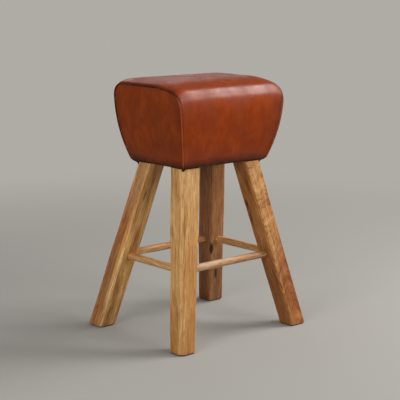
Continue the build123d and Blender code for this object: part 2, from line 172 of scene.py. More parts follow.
def leg_outline(half, cuts):
    """One cross-section of a leg: four faces and four planed edges with softened arrises.

    With its points go marks, from 0 on a face to 1 on the crest of an arris.
    """
    signs = [(1, -1), (1, 1), (-1, 1), (-1, -1)]
    points, marks = [], []
    for i, (side_x, side_y) in enumerate(signs):
        corner = Vector((side_x * half, side_y * half))
        first, second = Vector((-side_x, 0)), Vector((0, -side_y))
        if i % 2:
            first, second = second, first
        start, end = corner + first * cuts[i], corner + second * cuts[i]
        slope = (end - start).normalized() * leg_edge_round
        first, second = first * leg_edge_round, second * leg_edge_round
        points += [start + first, start + (first + slope) * 0.3, start + slope, (start + end) / 2,
                   end - slope, end + (second - slope) * 0.3, end + second]
        marks += [0.5, 1.0, 0.6, 0.25, 0.6, 1.0, 0.5]
        next_corner = Vector(signs[(i + 1) % 4]) * half
        next_start = next_corner - (next_corner - corner).normalized() * cuts[(i + 1) % 4]
        points += [end + (next_start - end) * step / leg_face_steps for step in range(1, leg_face_steps)]
        marks += [0.0] * (leg_face_steps - 1)
    return points, marks


def make_leg(name, side_x, side_y, seed, wider, foot_cut, head_cut, near_cut):
    """A leg, drawn as cross-sections up its lean, then mortised and bored for its bolt.

    wider is what each face stands out by at the foot. The side chamfers have a width at the foot
    and one at the head, and the chamfer on the near corner is the usual one times near_cut.
    """
    rise = leg_head_height - leg_foot_height
    heights = [leg_foot_height + up for up in leg_ease_rows]
    heights += [leg_foot_height + leg_foot_ease + i * leg_row_step for i in range(round(rise / leg_row_step))]
    heights = [height for height in heights if height < leg_head_height - 0.001] + [leg_head_height]
    points, marks = [], []
    for height in heights:
        share = (height - leg_foot_height) / rise
        up = min((height - leg_foot_height) / leg_foot_ease, 1)
        half = (leg_foot_width + share * (leg_head_width - leg_foot_width)) / 2 + wider * (1 - share)
        half -= leg_foot_ease * (1 - math.sqrt(1 - (1 - up) ** 2))
        base_cut = leg_foot_chamfer + share * (leg_head_chamfer - leg_foot_chamfer)
        side_cut = foot_cut + share * (head_cut - foot_cut)
        cuts = [cut + leg_chamfer_waver * waver((0, 0, height), leg_chamfer_wave, seed + i)
                for i, cut in enumerate((side_cut, base_cut, side_cut, base_cut * near_cut))]
        outline, outline_marks = leg_outline(half, cuts)
        axis_x, axis_y = leg_axis(height)
        for spot in outline:
            sway = leg_face_waver * waver((spot.x * 2, spot.y * 2, height), leg_face_wave, seed + 11)
            spot = spot + spot.normalized() * sway
            points.append((side_x * axis_x + spot.x, side_y * axis_y + spot.y, height))
        marks += outline_marks
    leg = mesh_object(name, points, ring_faces(len(heights), len(outline_marks)))
    set_attribute(leg, "arris", marks)

    def at(x, y, z):
        return side_x * x, side_y * y, z

    rail_x, rail_y = leg_axis(stretcher_height)
    mouth_x, mouth_y = rail_x - mortise_mouth, rail_y - mortise_mouth
    room = stretcher_radius + mortise_clearance
    cut_from(leg, [
        drill("mortise", at(mouth_x - 2 * drill_lead, rail_y, stretcher_height),
              at(mouth_x + mortise_floor, rail_y, stretcher_height), room),
        drill("mortise", at(rail_x, mouth_y - 2 * drill_lead, stretcher_height),
              at(rail_x, mouth_y + mortise_floor, stretcher_height), room),
        drill("bolt_hole", at(*bolt_spread, leg_head_height - bolt_hole_depth),
              at(*bolt_spread, leg_head_height + drill_lead), bolt_hole_radius, 20),
    ])
    leg.data.shade_smooth()
    leg.data.set_sharp_from_angle(angle=wood_sharp_angle)
    grain = coordinates(leg)
    axis_x, axis_y = leg_axis(grain[:, 2])
    grain[:, 0] -= side_x * axis_x
    grain[:, 1] -= side_y * axis_y
    set_attribute(leg, "grain", grain, "FLOAT_VECTOR")
    return leg


def add(tree, kind, inputs=None, **settings):
    """A new node with its settings, and with values or links on its inputs."""
    made = tree.nodes.new(kind)
    for name, value in settings.items():
        setattr(made, name, value)
    for key, value in (inputs or {}).items():
        socket = made.inputs[key]
        if isinstance(value, bpy.types.NodeSocket):
            tree.links.new(value, socket)
        else:
            socket.default_value = (*value, 1.0) if socket.type == "RGBA" else value
    return made


def maths(tree, operation, first, second=0.0, clamp=False):
    return add(tree, "ShaderNodeMath", {0: first, 1: second}, operation=operation, use_clamp=clamp).outputs[0]


def vector_maths(tree, operation, first, second=(0.0, 0.0, 0.0)):
    made = add(tree, "ShaderNodeVectorMath", {0: first, 1: second}, operation=operation)
    return made.outputs["Value" if operation == "LENGTH" else "Vector"]


def weighted(tree, *shares):
    """The sum of some values, each times its weight."""
    total = maths(tree, "MULTIPLY", *shares[0])
    for share in shares[1:]:
        total = maths(tree, "ADD", total, maths(tree, "MULTIPLY", *share))
    return total


def remap(tree, value, low, high, to_low=0.0, to_high=1.0):
    spots = {"Value": value, "From Min": low, "From Max": high, "To Min": to_low, "To Max": to_high}
    return add(tree, "ShaderNodeMapRange", spots, interpolation_type="SMOOTHSTEP").outputs[0]


def noise_of(tree, vector, scale, detail=2.0, roughness=0.5, distortion=0.0,
             shift=(0.0, 0.0, 0.0), output=0):
    """Noise of one scale, or of three, drawn out along an axis. Output 1 is a vector."""
    if isinstance(scale, tuple):
        vector = add(tree, "ShaderNodeMapping",
                     {"Vector": vector, "Scale": scale, "Location": shift}).outputs[0]
        scale = 1.0
    spots = {"Vector": vector, "Scale": scale, "Detail": detail, "Roughness": roughness,
             "Distortion": distortion}
    return add(tree, "ShaderNodeTexNoise", spots).outputs[output]


def mix_colour(tree, share, under, over, kind="MIX"):
    made = add(tree, "ShaderNodeMix", {0: share, 6: under, 7: over}, data_type="RGBA", blend_type=kind)
    return made.outputs[2]


def toned(tree, tint, mask, strength, colour, kind="MULTIPLY"):
    """A tint multiplied by a colour, or mixed with it, as far as a mask and a strength say."""
    return mix_colour(tree, maths(tree, "MULTIPLY", mask, strength), tint, colour, kind)


def group_of(name, inputs, outputs, kind="ShaderNodeTree"):
    """A node group with named inputs (kind, default) and outputs, and its end nodes' sockets."""
    tree = bpy.data.node_groups.new(name, kind)
    for label, (socket_kind, value) in inputs.items():
        socket = tree.interface.new_socket(name=label, in_out="INPUT", socket_type=socket_kind)
        if value is not None:
            socket.default_value = value
    for label, socket_kind in outputs.items():
        tree.interface.new_socket(name=label, in_out="OUTPUT", socket_type=socket_kind)
    return tree, tree.nodes.new("NodeGroupInput").outputs, tree.nodes.new("NodeGroupOutput").inputs


def place_group(tree, group, inputs):
    return add(tree, "ShaderNodeGroup", inputs, node_tree=group).outputs


def new_material(name):
    made = bpy.data.materials.new(name)
    made.use_nodes = True
    return made, made.node_tree, made.node_tree.nodes["Principled BSDF"]


def lay_finish(tree, shader, colour, roughness, height, strength, depth, over=None):
    """Links a surface's colour, roughness and fine relief, which may lie over a coarser one."""
    tree.links.new(colour, shader.inputs["Base Color"])
    tree.links.new(roughness, shader.inputs["Roughness"])
    relief = add(tree, "ShaderNodeBump", {"Strength": strength, "Distance": depth, "Height": height})
    if over:
        tree.links.new(over, relief.inputs["Normal"])
    tree.links.new(relief.outputs[0], shader.inputs["Normal"])


# How often each part of the grain comes round in a metre, twice across the wood and once along
# it, then how strongly the parts shade the wood, and the tints that they multiply it by.
bend_scale, bend_reach = (14, 14, 5), 0.022
fibre_scale = (420, 420, 21)
pore_scale = (1300, 1300, 38)
broad_scale = (26, 26, 7)
streak_scale = (150, 150, 5.5)
warm_scale = (34, 34, 4)
dash_scale = (620, 620, 62)
ring_share, fibre_share, broad_share, streak_share = 0.26, 0.36, 0.22, 0.16
warm_tint = (0.94, 0.78, 0.62)
ring_line_tint = (0.55, 0.36, 0.24)
fibre_tint, fibre_strength = (0.72, 0.58, 0.44), 0.42
dash_tint, dash_strength = (0.58, 0.42, 0.28), 0.45
pore_tint, pore_strength = (0.13, 0.055, 0.02), 0.55
worn_tint, worn_strength = (1.45, 1.50, 1.60), 0.6


def make_wood_group():
    """Mango grain: growth rings round an off-centre heart, long fibres and short dark pores."""
    vector, number, colour = "NodeSocketVector", "NodeSocketFloat", "NodeSocketColor"
    white = (1, 1, 1, 1)
    tree, given, out = group_of("mango_grain", {
        "Grain": (vector, None), "Seed": (number, 0.0), "Heart": (vector, (0.03, 0.01, 0.0)),
        "Drift": (number, 0.1), "Rise": (number, 0.0), "Ring Width": (number, 0.006), "Line": (number, 0.35),
        "Pale": (colour, white), "Middle": (colour, white), "Dark": (colour, white), "Contrast": (number, 1.0),
    }, {"Color": colour, "Roughness": number, "Height": number})

    shift = add(tree, "ShaderNodeCombineXYZ", {axis: given["Seed"] for axis in range(3)}).outputs[0]
    placed = vector_maths(tree, "ADD", given["Grain"], shift)
    bend = vector_maths(tree, "SUBTRACT", noise_of(tree, placed, bend_scale, 3.0, output=1), (0.5, 0.5, 0.5))
    bend = vector_maths(tree, "MULTIPLY", bend, (bend_reach,) * 3)
    bent = vector_maths(tree, "ADD", given["Grain"], bend)
    from_heart = vector_maths(tree, "SUBTRACT", bent, given["Heart"])
    from_heart = add(tree, "ShaderNodeSeparateXYZ", {0: from_heart}).outputs
    across = maths(tree, "SUBTRACT", from_heart[0], maths(tree, "MULTIPLY", from_heart[2], given["Drift"]))
    deep = maths(tree, "SUBTRACT", from_heart[1], maths(tree, "MULTIPLY", from_heart[2], given["Rise"]))
    away = maths(tree, "SQRT", weighted(tree, (across, across), (deep, deep)))
    rings_at = maths(tree, "DIVIDE", away, given["Ring Width"])

    ring = add(tree, "ShaderNodeTexNoise", {"W": rings_at, "Scale": 1.0, "Detail": 3.0, "Roughness": 0.6},
               noise_dimensions="1D").outputs[0]
    fibre = noise_of(tree, placed, fibre_scale, 4.0, 0.62)
    fine = noise_of(tree, placed, pore_scale, 2.0, 0.6)
    broad = noise_of(tree, placed, broad_scale, 3.0, 0.55)
    streak = noise_of(tree, placed, streak_scale, 3.0, 0.6, 0.3)
    tone = weighted(tree, (ring, ring_share), (fibre, fibre_share), (broad, broad_share),
                    (streak, streak_share))
    tone = maths(tree, "MULTIPLY", maths(tree, "SUBTRACT", tone, 0.5), given["Contrast"])
    tone = maths(tree, "ADD", tone, 0.5)
    tint = mix_colour(tree, remap(tree, tone, 0.50, 0.64), given["Middle"], given["Dark"])
    tint = mix_colour(tree, remap(tree, tone, 0.50, 0.38), tint, given["Pale"])

    warm = noise_of(tree, placed, warm_scale, 2.0, 0.5, shift=(3.0, 1.0, 0.0))
    tint = mix_colour(tree, remap(tree, warm, 0.48, 0.66), tint, warm_tint, "MULTIPLY")
    line = maths(tree, "SINE", maths(tree, "MULTIPLY", rings_at, 2 * math.pi))
    line = maths(tree, "MULTIPLY", remap(tree, line, 0.55, 1.0), remap(tree, broad, 0.42, 0.58))
    tint = toned(tree, tint, line, given["Line"], ring_line_tint)
    tint = toned(tree, tint, remap(tree, fibre, 0.47, 0.57), fibre_strength, fibre_tint)
    dash = noise_of(tree, placed, dash_scale, 2.0, 0.5, shift=(1.0, 5.0, 2.0))
    tint = toned(tree, tint, remap(tree, dash, 0.56, 0.63), dash_strength, dash_tint)
    pores = maths(tree, "MULTIPLY", remap(tree, fine, 0.60, 0.70), remap(tree, fibre, 0.40, 0.60, 0.25, 1.0))
    tree.links.new(toned(tree, tint, pores, pore_strength, pore_tint, "MIX"), out["Color"])
    tree.links.new(maths(tree, "ADD", weighted(tree, (fibre, 0.16), (pores, 0.12)), 0.40), out["Roughness"])
    tree.links.new(weighted(tree, (fibre, 0.5), (pores, -0.8)), out["Height"])
    return tree


def make_mark_group():
    """A soft-edged mark, long with the grain: a knot, a stain or a worn patch in the wood, or a patch of
    painted light or shade.
    """
    vector, number = "NodeSocketVector", "NodeSocketFloat"
    tree, given, out = group_of("wood_mark", {
        "Grain": (vector, None), "Centre": (vector, (0, 0, 0)), "Size": (vector, (0.01, 0.01, 0.01)),
        "Softness": (number, 0.4), "Raggedness": (number, 0.5),
    }, {"Mask": number})
    away = vector_maths(tree, "SUBTRACT", given["Grain"], given["Centre"])
    away = vector_maths(tree, "LENGTH", vector_maths(tree, "DIVIDE", away, given["Size"]))
    rough = noise_of(tree, given["Grain"], (260, 260, 60), 3.0, 0.6)
    ragged = maths(tree, "MULTIPLY", maths(tree, "SUBTRACT", rough, 0.5), given["Raggedness"])
    solid = maths(tree, "SUBTRACT", 1.0, given["Softness"])
    tree.links.new(remap(tree, maths(tree, "ADD", away, ragged), solid, 1.0, 1.0, 0.0), out["Mask"])
    return tree


mango_grain = make_wood_group()
wood_mark = make_mark_group()


def wood_material(name, seed, heart, drift, ring_width, pale, middle, dark,
                  contrast=1.25, rise=0.0, line=0.35, marks=()):
    """An oiled mango finish. Marks are (centre, size, colour, strength, softness, raggedness)."""
    made, tree, shader = new_material(name)
    grain = add(tree, "ShaderNodeAttribute", attribute_name="grain").outputs["Vector"]
    wood = place_group(tree, mango_grain, {
        "Grain": grain, "Seed": seed, "Heart": heart, "Drift": drift, "Rise": rise, "Ring Width": ring_width,
        "Line": line, "Pale": pale, "Middle": middle, "Dark": dark, "Contrast": contrast,
    })
    tint = wood["Color"]
    for centre, size, colour, strength, softness, raggedness in marks:
        mark = {"Grain": grain, "Centre": centre, "Size": size, "Softness": softness, "Raggedness": raggedness}
        tint = toned(tree, tint, place_group(tree, wood_mark, mark)["Mask"], strength, colour)
    arris = add(tree, "ShaderNodeAttribute", attribute_name="arris").outputs["Fac"]
    worn = remap(tree, noise_of(tree, grain, (60, 60, 14), 3.0, 0.6), 0.32, 0.56)
    worn = maths(tree, "MULTIPLY", maths(tree, "POWER", arris, 3.0), worn)
    tint = toned(tree, tint, worn, worn_strength, worn_tint)
    lay_finish(tree, shader, tint, wood["Roughness"], wood["Height"], 0.28, 0.0006)
    shader.inputs["Specular IOR Level"].default_value = 0.30
    return made


leg_finishes = {
    "front_left": dict(
        seed=1.3, heart=(0.055, 0.02, 0.0), drift=0.02, ring_width=0.0075, contrast=1.05,
        pale=(0.70, 0.44, 0.175), middle=(0.565, 0.298, 0.094), dark=(0.38, 0.168, 0.043), marks=[
            # Painted light: the top of the leg made paler against the seat's shade.
            ((0.0, 0.0, 0.48), (0.06, 0.06, 0.14), (1.16, 1.30, 1.56), 0.9, 0.9, 0.3),
            # Painted light: the lit left face made paler.
            ((-0.032, 0.0, 0.33), (0.012, 0.06, 0.34), (1.30, 1.36, 1.46), 0.9, 0.6, 0.3),
            ((-0.030, 0.030, 0.20), (0.014, 0.010, 0.34), (0.78, 0.72, 0.76), 0.9, 0.5, 0.4),
            ((0.002, -0.030, 0.02), (0.034, 0.014, 0.18), (0.72, 0.58, 0.38), 0.95, 0.9, 0.5),
            ((-0.031, 0.0, 0.02), (0.014, 0.05, 0.16), (0.94, 0.86, 0.72), 0.9, 0.8, 0.5),
            ((-0.012, -0.031, 0.31), (0.0025, 0.006, 0.030), (0.62, 0.50, 0.40), 0.7, 0.8, 0.8),
        ]),
    "back_left": dict(
        seed=5.1, heart=(-0.02, 0.05, 0.0), drift=-0.05, ring_width=0.006,
        pale=(0.70, 0.44, 0.175), middle=(0.55, 0.29, 0.095), dark=(0.33, 0.145, 0.038), marks=[
            ((-0.031, 0.004, 0.25), (0.006, 0.05, 0.45), (0.90, 0.70, 0.60), 0.85, 0.6, 0.4),
            ((-0.031, 0.008, 0.14), (0.012, 0.040, 0.20), (0.78, 0.74, 0.78), 0.95, 0.7, 0.4),
            # Painted light: the top of the left face made paler against the seat's shade.
            ((-0.031, 0.004, 0.45), (0.012, 0.05, 0.17), (1.12, 1.25, 1.60), 0.9, 0.8, 0.4),
            ((-0.031, -0.021, 0.23), (0.014, 0.014, 0.20), (1.62, 2.05, 2.50), 0.9, 0.5, 0.5),
            ((0.004, -0.031, 0.24), (0.05, 0.014, 0.24), (1.14, 1.16, 1.10), 0.9, 0.8, 0.4),
            ((0.0, -0.031, 0.47), (0.05, 0.014, 0.06), (1.00, 0.94, 0.84), 0.9, 0.8, 0.5),
            ((-0.018, -0.031, 0.405), (0.0040, 0.010, 0.024), (0.34, 0.32, 0.22), 0.9, 0.7, 0.6),
            ((-0.018, -0.031, 0.045), (0.012, 0.014, 0.034), (0.70, 0.64, 0.42), 0.9, 0.8, 0.8),
            ((-0.010, -0.031, 0.060), (0.004, 0.006, 0.008), (0.45, 0.38, 0.26), 0.8, 0.7, 0.8),
            ((-0.030, 0.010, 0.06), (0.010, 0.006, 0.010), (0.50, 0.40, 0.30), 0.7, 0.7, 0.8),
        ]),
    "front_right": dict(
        seed=9.7, heart=(0.004, 0.012, 0.0), drift=0.05, ring_width=0.0060, rise=0.26, line=0.85,
        pale=(0.64, 0.37, 0.140), middle=(0.49, 0.245, 0.072), dark=(0.29, 0.11, 0.026), marks=[
            # Painted shade: the left face, turned from the light, made darker.
            ((-0.031, 0.0, 0.25), (0.008, 0.05, 0.45), (0.84, 0.68, 0.55), 0.85, 0.6, 0.4),
            ((-0.031, 0.0, 0.04), (0.014, 0.05, 0.20), (0.70, 0.58, 0.50), 0.9, 0.8, 0.4),
            ((-0.031, 0.015, 0.37), (0.012, 0.008, 0.026), (0.22, 0.14, 0.11), 0.95, 0.8, 0.9),
            ((-0.031, 0.013, 0.33), (0.012, 0.009, 0.036), (0.42, 0.28, 0.24), 0.9, 0.8, 0.8),
            ((-0.031, -0.012, 0.45), (0.012, 0.016, 0.05), (0.74, 0.62, 0.50), 0.9, 0.8, 0.8),
            ((0.005, -0.030, 0.10), (0.05, 0.03, 0.24), (0.62, 0.39, 0.29), 0.95, 0.7, 0.6),
            ((-0.031, 0.0, 0.17), (0.014, 0.05, 0.13), (0.74, 0.68, 0.62), 0.9, 0.8, 0.6),
            ((0.020, -0.031, 0.22), (0.010, 0.010, 0.12), (0.74, 0.50, 0.42), 0.8, 0.8, 0.8),
            ((0.010, -0.031, 0.030), (0.016, 0.010, 0.022), (1.45, 1.75, 1.60), 0.9, 0.7, 0.7),
        ]),
    "back_right": dict(
        seed=14.2, heart=(-0.05, -0.02, 0.0), drift=0.03, ring_width=0.007,
        pale=(0.52, 0.30, 0.135), middle=(0.41, 0.205, 0.078), dark=(0.24, 0.100, 0.032), marks=[
            ((0.0, 0.0, 0.02), (0.07, 0.07, 0.24), (0.62, 0.49, 0.42), 1.0, 0.8, 0.4),
            # Painted shade: the left face, in the seat's shade, made darker.
            ((-0.031, 0.0, 0.25), (0.008, 0.05, 0.50), (0.62, 0.47, 0.38), 0.9, 0.6, 0.4),
            ((-0.026, -0.029, 0.191), (0.009, 0.009, 0.026), (0.14, 0.09, 0.06), 1.0, 0.6, 0.7),
            ((-0.007, -0.031, 0.100), (0.008, 0.014, 0.024), (0.16, 0.10, 0.07), 1.0, 0.6, 0.7),
            ((0.010, -0.031, 0.16), (0.016, 0.014, 0.05), (0.74, 0.62, 0.56), 0.9, 0.8, 0.8),
        ]),
}
leg_hand_work = {
    "front_left": dict(wider=0.0004, foot_cut=0.0110, head_cut=0.0085, near_cut=1.0),
    "back_left": dict(wider=0.0012, foot_cut=0.0060, head_cut=0.0110, near_cut=0.65),
    "front_right": dict(wider=0.0002, foot_cut=0.0078, head_cut=0.0100, near_cut=0.5),
    "back_right": dict(wider=0.0002, foot_cut=0.0076, head_cut=0.0100, near_cut=0.5),
}
for place, signs in corner_signs.items():
    leg = make_leg(f"{place}_leg", *signs, leg_finishes[place]["seed"], **leg_hand_work[place])
    leg.data.materials.append(wood_material(f"mango_{place}", **leg_finishes[place]))
    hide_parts(f"leg_{place}")
    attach(leg, "root")

# Stretchers: four turned rods of the same wood, all at one height. Each end is a tenon that is
# glued in a leg's mortise. They are a little out of round and show the lathe's slight facets.
rod_row_step = 0.008
rod_sides = 28
rod_end_ease = 0.0008
rod_waver = 0.00018
rod_waves_along = 18


def make_stretcher(name, start, end, seed):
    """A rod with eased ends and with its grain along it."""
    start, end = Vector(start), Vector(end)
    length = (end - start).length
    axis = (end - start).normalized()
    up = Vector((0, 0, 1))
    side = up.cross(axis).normalized()
    rows = int(length / rod_row_step)
    full = length - 2 * rod_end_ease
    places = [(rod_end_ease + full * i / rows, stretcher_radius) for i in range(rows + 1)]
    places = [(0.0, stretcher_radius - rod_end_ease), *places, (length, stretcher_radius - rod_end_ease)]
    points, grain = [], []
    for along, radius in places:
        for i in range(rod_sides):
            angle = 2 * math.pi * i / rod_sides
            right, high = math.cos(angle), math.sin(angle)
            reach = radius + rod_waver * waver((right, high, along * rod_waves_along), 1.0, seed)
            points.append(start + axis * along + side * right * reach + up * high * reach)
            grain.append((right * reach, high * reach, along))
    rod = mesh_object(name, points, ring_faces(len(places), rod_sides))
    rod.data.set_sharp_from_angle(angle=wood_sharp_angle)
    set_attribute(rod, "grain", grain, "FLOAT_VECTOR")
    set_attribute(rod, "arris", [0.0] * len(points))
    return rod


low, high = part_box("stretcher_front")
tenon_x, rail_y = high.x, (low.y + high.y) / 2
low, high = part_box("stretcher_right")
tenon_y, rail_x = high.y, (low.x + high.x) / 2
stretcher_ends = {
    "front": ((-tenon_x, rail_y), (tenon_x, rail_y)), "back": ((-tenon_x, -rail_y), (tenon_x, -rail_y)),
    "left": ((-rail_x, -tenon_y), (-rail_x, tenon_y)), "right": ((rail_x, -tenon_y), (rail_x, tenon_y)),
}
plain_rod = dict(heart=(0.03, 0.01, 0.0), drift=0.02, ring_width=0.006, contrast=1.2,
                 pale=(0.78, 0.47, 0.21), middle=(0.64, 0.35, 0.135), dark=(0.40, 0.18, 0.06))
stretcher_finishes = {
    "front": dict(plain_rod, seed=21.0, pale=(0.68, 0.50, 0.33), middle=(0.57, 0.38, 0.215),
                  dark=(0.38, 0.21, 0.095),
                  marks=[((0, 0, 0.31), (0.03, 0.03, 0.17), (0.66, 0.54, 0.40), 1.0, 0.9, 0.3)]),
    "back": dict(plain_rod, seed=25.0),
    "left": dict(plain_rod, seed=29.0, pale=(0.80, 0.52, 0.23), middle=(0.66, 0.37, 0.14),
                 dark=(0.33, 0.15, 0.055),
                 marks=[((0, 0, 0.27), (0.03, 0.03, 0.045), (0.85, 0.50, 0.25), 0.8, 0.8, 0.6)]),
    "right": dict(plain_rod, seed=33.0),
}
for place, (start, end) in stretcher_ends.items():
    rod = make_stretcher(f"{place}_stretcher", (*start, stretcher_height), (*end, stretcher_height),
                         stretcher_finishes[place]["seed"])
    rod.data.materials.append(wood_material(f"mango_{place}_rod", **stretcher_finishes[place]))
    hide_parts(f"stretcher_{place}")
    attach(rod, "root")

# Glides: a pad of dark wool felt glued under each foot, a little smaller than the foot, so that
# it shows only as a thin dark line. Its edge bulges under the stool's weight.
felt_thickness = 0.003
felt_inset = 0.003
felt_bulge = 0.0006
felt_fuzz, felt_fuzz_wave = 0.00015, 0.004
felt_rows = 6
felt_side_points, felt_corner_points = 8, 3
felt_sharp_angle = math.radians(50)
felt_dark, felt_pale = (0.045, 0.040, 0.036), (0.10, 0.09, 0.08)


def felt_outline(half, cut):
    """The foot's eight-sided outline, with points along its sides."""
    corners = [(half, -half + cut), (half, half - cut), (half - cut, half), (-half + cut, half),
               (-half, half - cut), (-half, -half + cut), (-half + cut, -half), (half - cut, -half)]
    spots = []
    for i, corner in enumerate(corners):
        steps = felt_corner_points if i % 2 else felt_side_points
        after = Vector(corners[(i + 1) % len(corners)])
        spots += [Vector(corner).lerp(after, step / steps) for step in range(steps)]
    return spots


def make_glide(name, side_x, side_y, seed):
    outline = felt_outline(leg_foot_width / 2 - felt_inset, leg_foot_chamfer - felt_inset)
    centre = Vector((side_x * leg_foot_spread[0], side_y * leg_foot_spread[1]))
    points = []
    for row in range(felt_rows + 1):
        up = felt_thickness * row / felt_rows
        bulge = felt_bulge * math.sin(math.pi * row / felt_rows)
        for spot in outline:
            fuzz = felt_fuzz * waver((spot.x, spot.y, up), felt_fuzz_wave, seed)
            points.append((*(centre + spot.normalized() * (spot.length + bulge + fuzz)), up))
    return mesh_object(name, points, ring_faces(felt_rows + 1, len(outline)))


def place_on(tree):
    return add(tree, "ShaderNodeTexCoord").outputs["Object"]


def two_tone(name, pattern_of, first, second, low, rough, strength, depth):
    """A finish whose colour, roughness (from low up) and fine relief all follow one pattern."""
    made, tree, shader = new_material(name)
    pattern = pattern_of(tree, place_on(tree))
    roughness = remap(tree, pattern, low, 0.8, *rough)
    lay_finish(tree, shader, mix_colour(tree, pattern, first, second), roughness, pattern, strength, depth)
    return made


felt = two_tone("dark_felt", lambda tree, place: noise_of(tree, place, 1400, 4.0, 0.7),
                felt_dark, felt_pale, 0.2, (0.88, 1.0), 0.6, 0.0004)
for place, (side_x, side_y) in corner_signs.items():
    glide = make_glide(f"{place}_glide", side_x, side_y, 40 + side_x + 2 * side_y)
    glide.data.set_sharp_from_angle(angle=felt_sharp_angle)
    glide.data.materials.append(felt)
    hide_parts(f"glide_{place}")
    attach(glide, "root")

# Seat carcass: birch plywood boards and walls, and glued corner blocks, hidden inside the
# upholstery. The boards' edges show the plies, as dark glue lines between pale layers.
ply_pitch = 0.0015
ply_grain_scale = (12, 260, 260)
birch_dark, birch_pale, glue_colour = (0.52, 0.36, 0.21), (0.70, 0.53, 0.34), (0.20, 0.11, 0.06)


def make_plywood(name, edge_axis):
    """Plywood whose layers are stacked along one axis."""
    made, tree, shader = new_material(name)
    place = place_on(tree)
    face = noise_of(tree, place, ply_grain_scale, 4.0, 0.6)
    deep = add(tree, "ShaderNodeSeparateXYZ", {0: place}).outputs[edge_axis]
    layer = maths(tree, "PINGPONG", deep, ply_pitch)
    glue = remap(tree, layer, ply_pitch * 0.86, ply_pitch)
    facing = add(tree, "ShaderNodeTexCoord").outputs["Normal"]
    facing = add(tree, "ShaderNodeSeparateXYZ", {0: facing}).outputs[edge_axis]
    on_edge = remap(tree, maths(tree, "ABSOLUTE", facing), 0.95, 0.55)
    tint = toned(tree, mix_colour(tree, face, birch_dark, birch_pale), glue, on_edge, glue_colour, "MIX")
    lay_finish(tree, shader, tint, remap(tree, face, 0.2, 0.8, 0.55, 0.75), face, 0.25, 0.0004)
    return made


def dress(node, finish):
    """Gives a carried-over node its finish in every material slot."""
    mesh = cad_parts[node].data
    if not mesh.materials:
        mesh.materials.append(finish)
    for i in range(len(mesh.materials)):
        mesh.materials[i] = finish


plywood_flat = make_plywood("birch_ply_flat", 2)
plywood_long = make_plywood("birch_ply_long", 1)
plywood_end = make_plywood("birch_ply_end", 0)
for node in ("base_board", "top_board", *(f"corner_block_{place}" for place in corner_signs)):
    dress(node, plywood_flat)
for node in ("wall_front", "wall_back"):
    dress(node, plywood_long)
for node in ("wall_left", "wall_right"):
    dress(node, plywood_end)

# Fastenings: hanger bolts with washers and nuts hold the legs, and countersunk wood screws hold
# the carcass together. All are zinc-plated steel, faintly cloudy.
zinc_dark, zinc_pale = (0.46, 0.46, 0.44), (0.66, 0.66, 0.63)

zinc, tree, shader = new_material("zinc_plate")
cloud = noise_of(tree, place_on(tree), 240, 3.0, 0.6)
tree.links.new(mix_colour(tree, cloud, zinc_dark, zinc_pale), shader.inputs["Base Color"])
tree.links.new(remap(tree, cloud, 0.2, 0.8, 0.28, 0.46), shader.inputs["Roughness"])
shader.inputs["Metallic"].default_value = 1.0
for node in ("hanger_bolts", "bolt_washers", "bolt_nuts", "base_screws", "top_screws", "corner_screws"):
    dress(node, zinc)

# Foam: a crowned slab on the top board and wraps on the four walls, cut from upholstery foam
# and glued on, with a layer of polyester wadding over all of it. None of it shows.
foam_voxel, foam_fuzz = 0.006, 0.0002
foam_dark, foam_pale = (0.42, 0.40, 0.34), (0.72, 0.69, 0.60)
wadding_voxel, wadding_fuzz, wadding_press = 0.0045, 0.00015, 0.0017
wadding_dark, wadding_pale = (0.62, 0.62, 0.60), (0.86, 0.86, 0.84)
pad_wave = 0.022
seat_middle = np.array((0.0, 0.0, 0.62))


def move_points(piece, spots):
    piece.data.vertices.foreach_set("co", spots.astype(np.float32).ravel())
    piece.data.update()


def soft_copy(name, node, voxel, fuzz, seed, press=0.0):
    """A soft piece in its solid's place: remeshed, eased, uneven, and pressed in from outside."""
    shape = bmesh.new()
    shape.from_mesh(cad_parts[node].data)
    bmesh.ops.remove_doubles(shape, verts=shape.verts, dist=1e-6)
    mesh = bpy.data.meshes.new(name)
    shape.to_mesh(mesh)
    shape.free()
    piece = into_scene(name, mesh)
    remesh = piece.modifiers.new("remesh", "REMESH")
    remesh.mode = "VOXEL"
    remesh.voxel_size = voxel
    settle(piece)
    spots, normals = coordinates(piece), coordinates(piece, "normal")
    for i, (spot, normal) in enumerate(zip(spots, normals)):
        outside = Vector(spot - seat_middle).normalized().dot(Vector(normal))
        at_seam = max(0.8 - abs(2 * normal[0] ** 2 - 1), 0)
        squeeze = fuzz * (waver(spot, pad_wave, seed) - 1.0)
        squeeze -= press * max(min(outside * 2, 1), 0) * (1 + 2 * at_seam)
        spots[i] = spot + normal * squeeze
    move_points(piece, spots)
    piece.data.shade_smooth()
    return piece


def cells_of(tree, place):
    return add(tree, "ShaderNodeTexVoronoi", {"Vector": place, "Scale": 900.0}).outputs["Distance"]


foam = two_tone("cut_foam", cells_of, foam_dark, foam_pale, 0.0, (0.85, 1.0), 0.7, 0.0006)
foam_pads = []
for i, place in enumerate(("top", "front", "back", "left", "right")):
    pad = soft_copy(f"{place}_foam", f"foam_{place}", foam_voxel, foam_fuzz, 50 + i)
    pad.data.materials.append(foam)
    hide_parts(f"foam_{place}")
    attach(pad, "root")
    foam_pads.append(pad)

wadding = two_tone("wadding_fibre", lambda tree, place: noise_of(tree, place, 700, 5.0, 0.75, 1.5),
                   wadding_dark, wadding_pale, 0.2, (0.85, 1.0), 0.8, 0.0008)
layer = soft_copy("wadding_layer", "wadding", wadding_voxel, wadding_fuzz, 60, wadding_press)
layer.data.materials.append(wadding)
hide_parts("wadding")
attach(layer, "root")

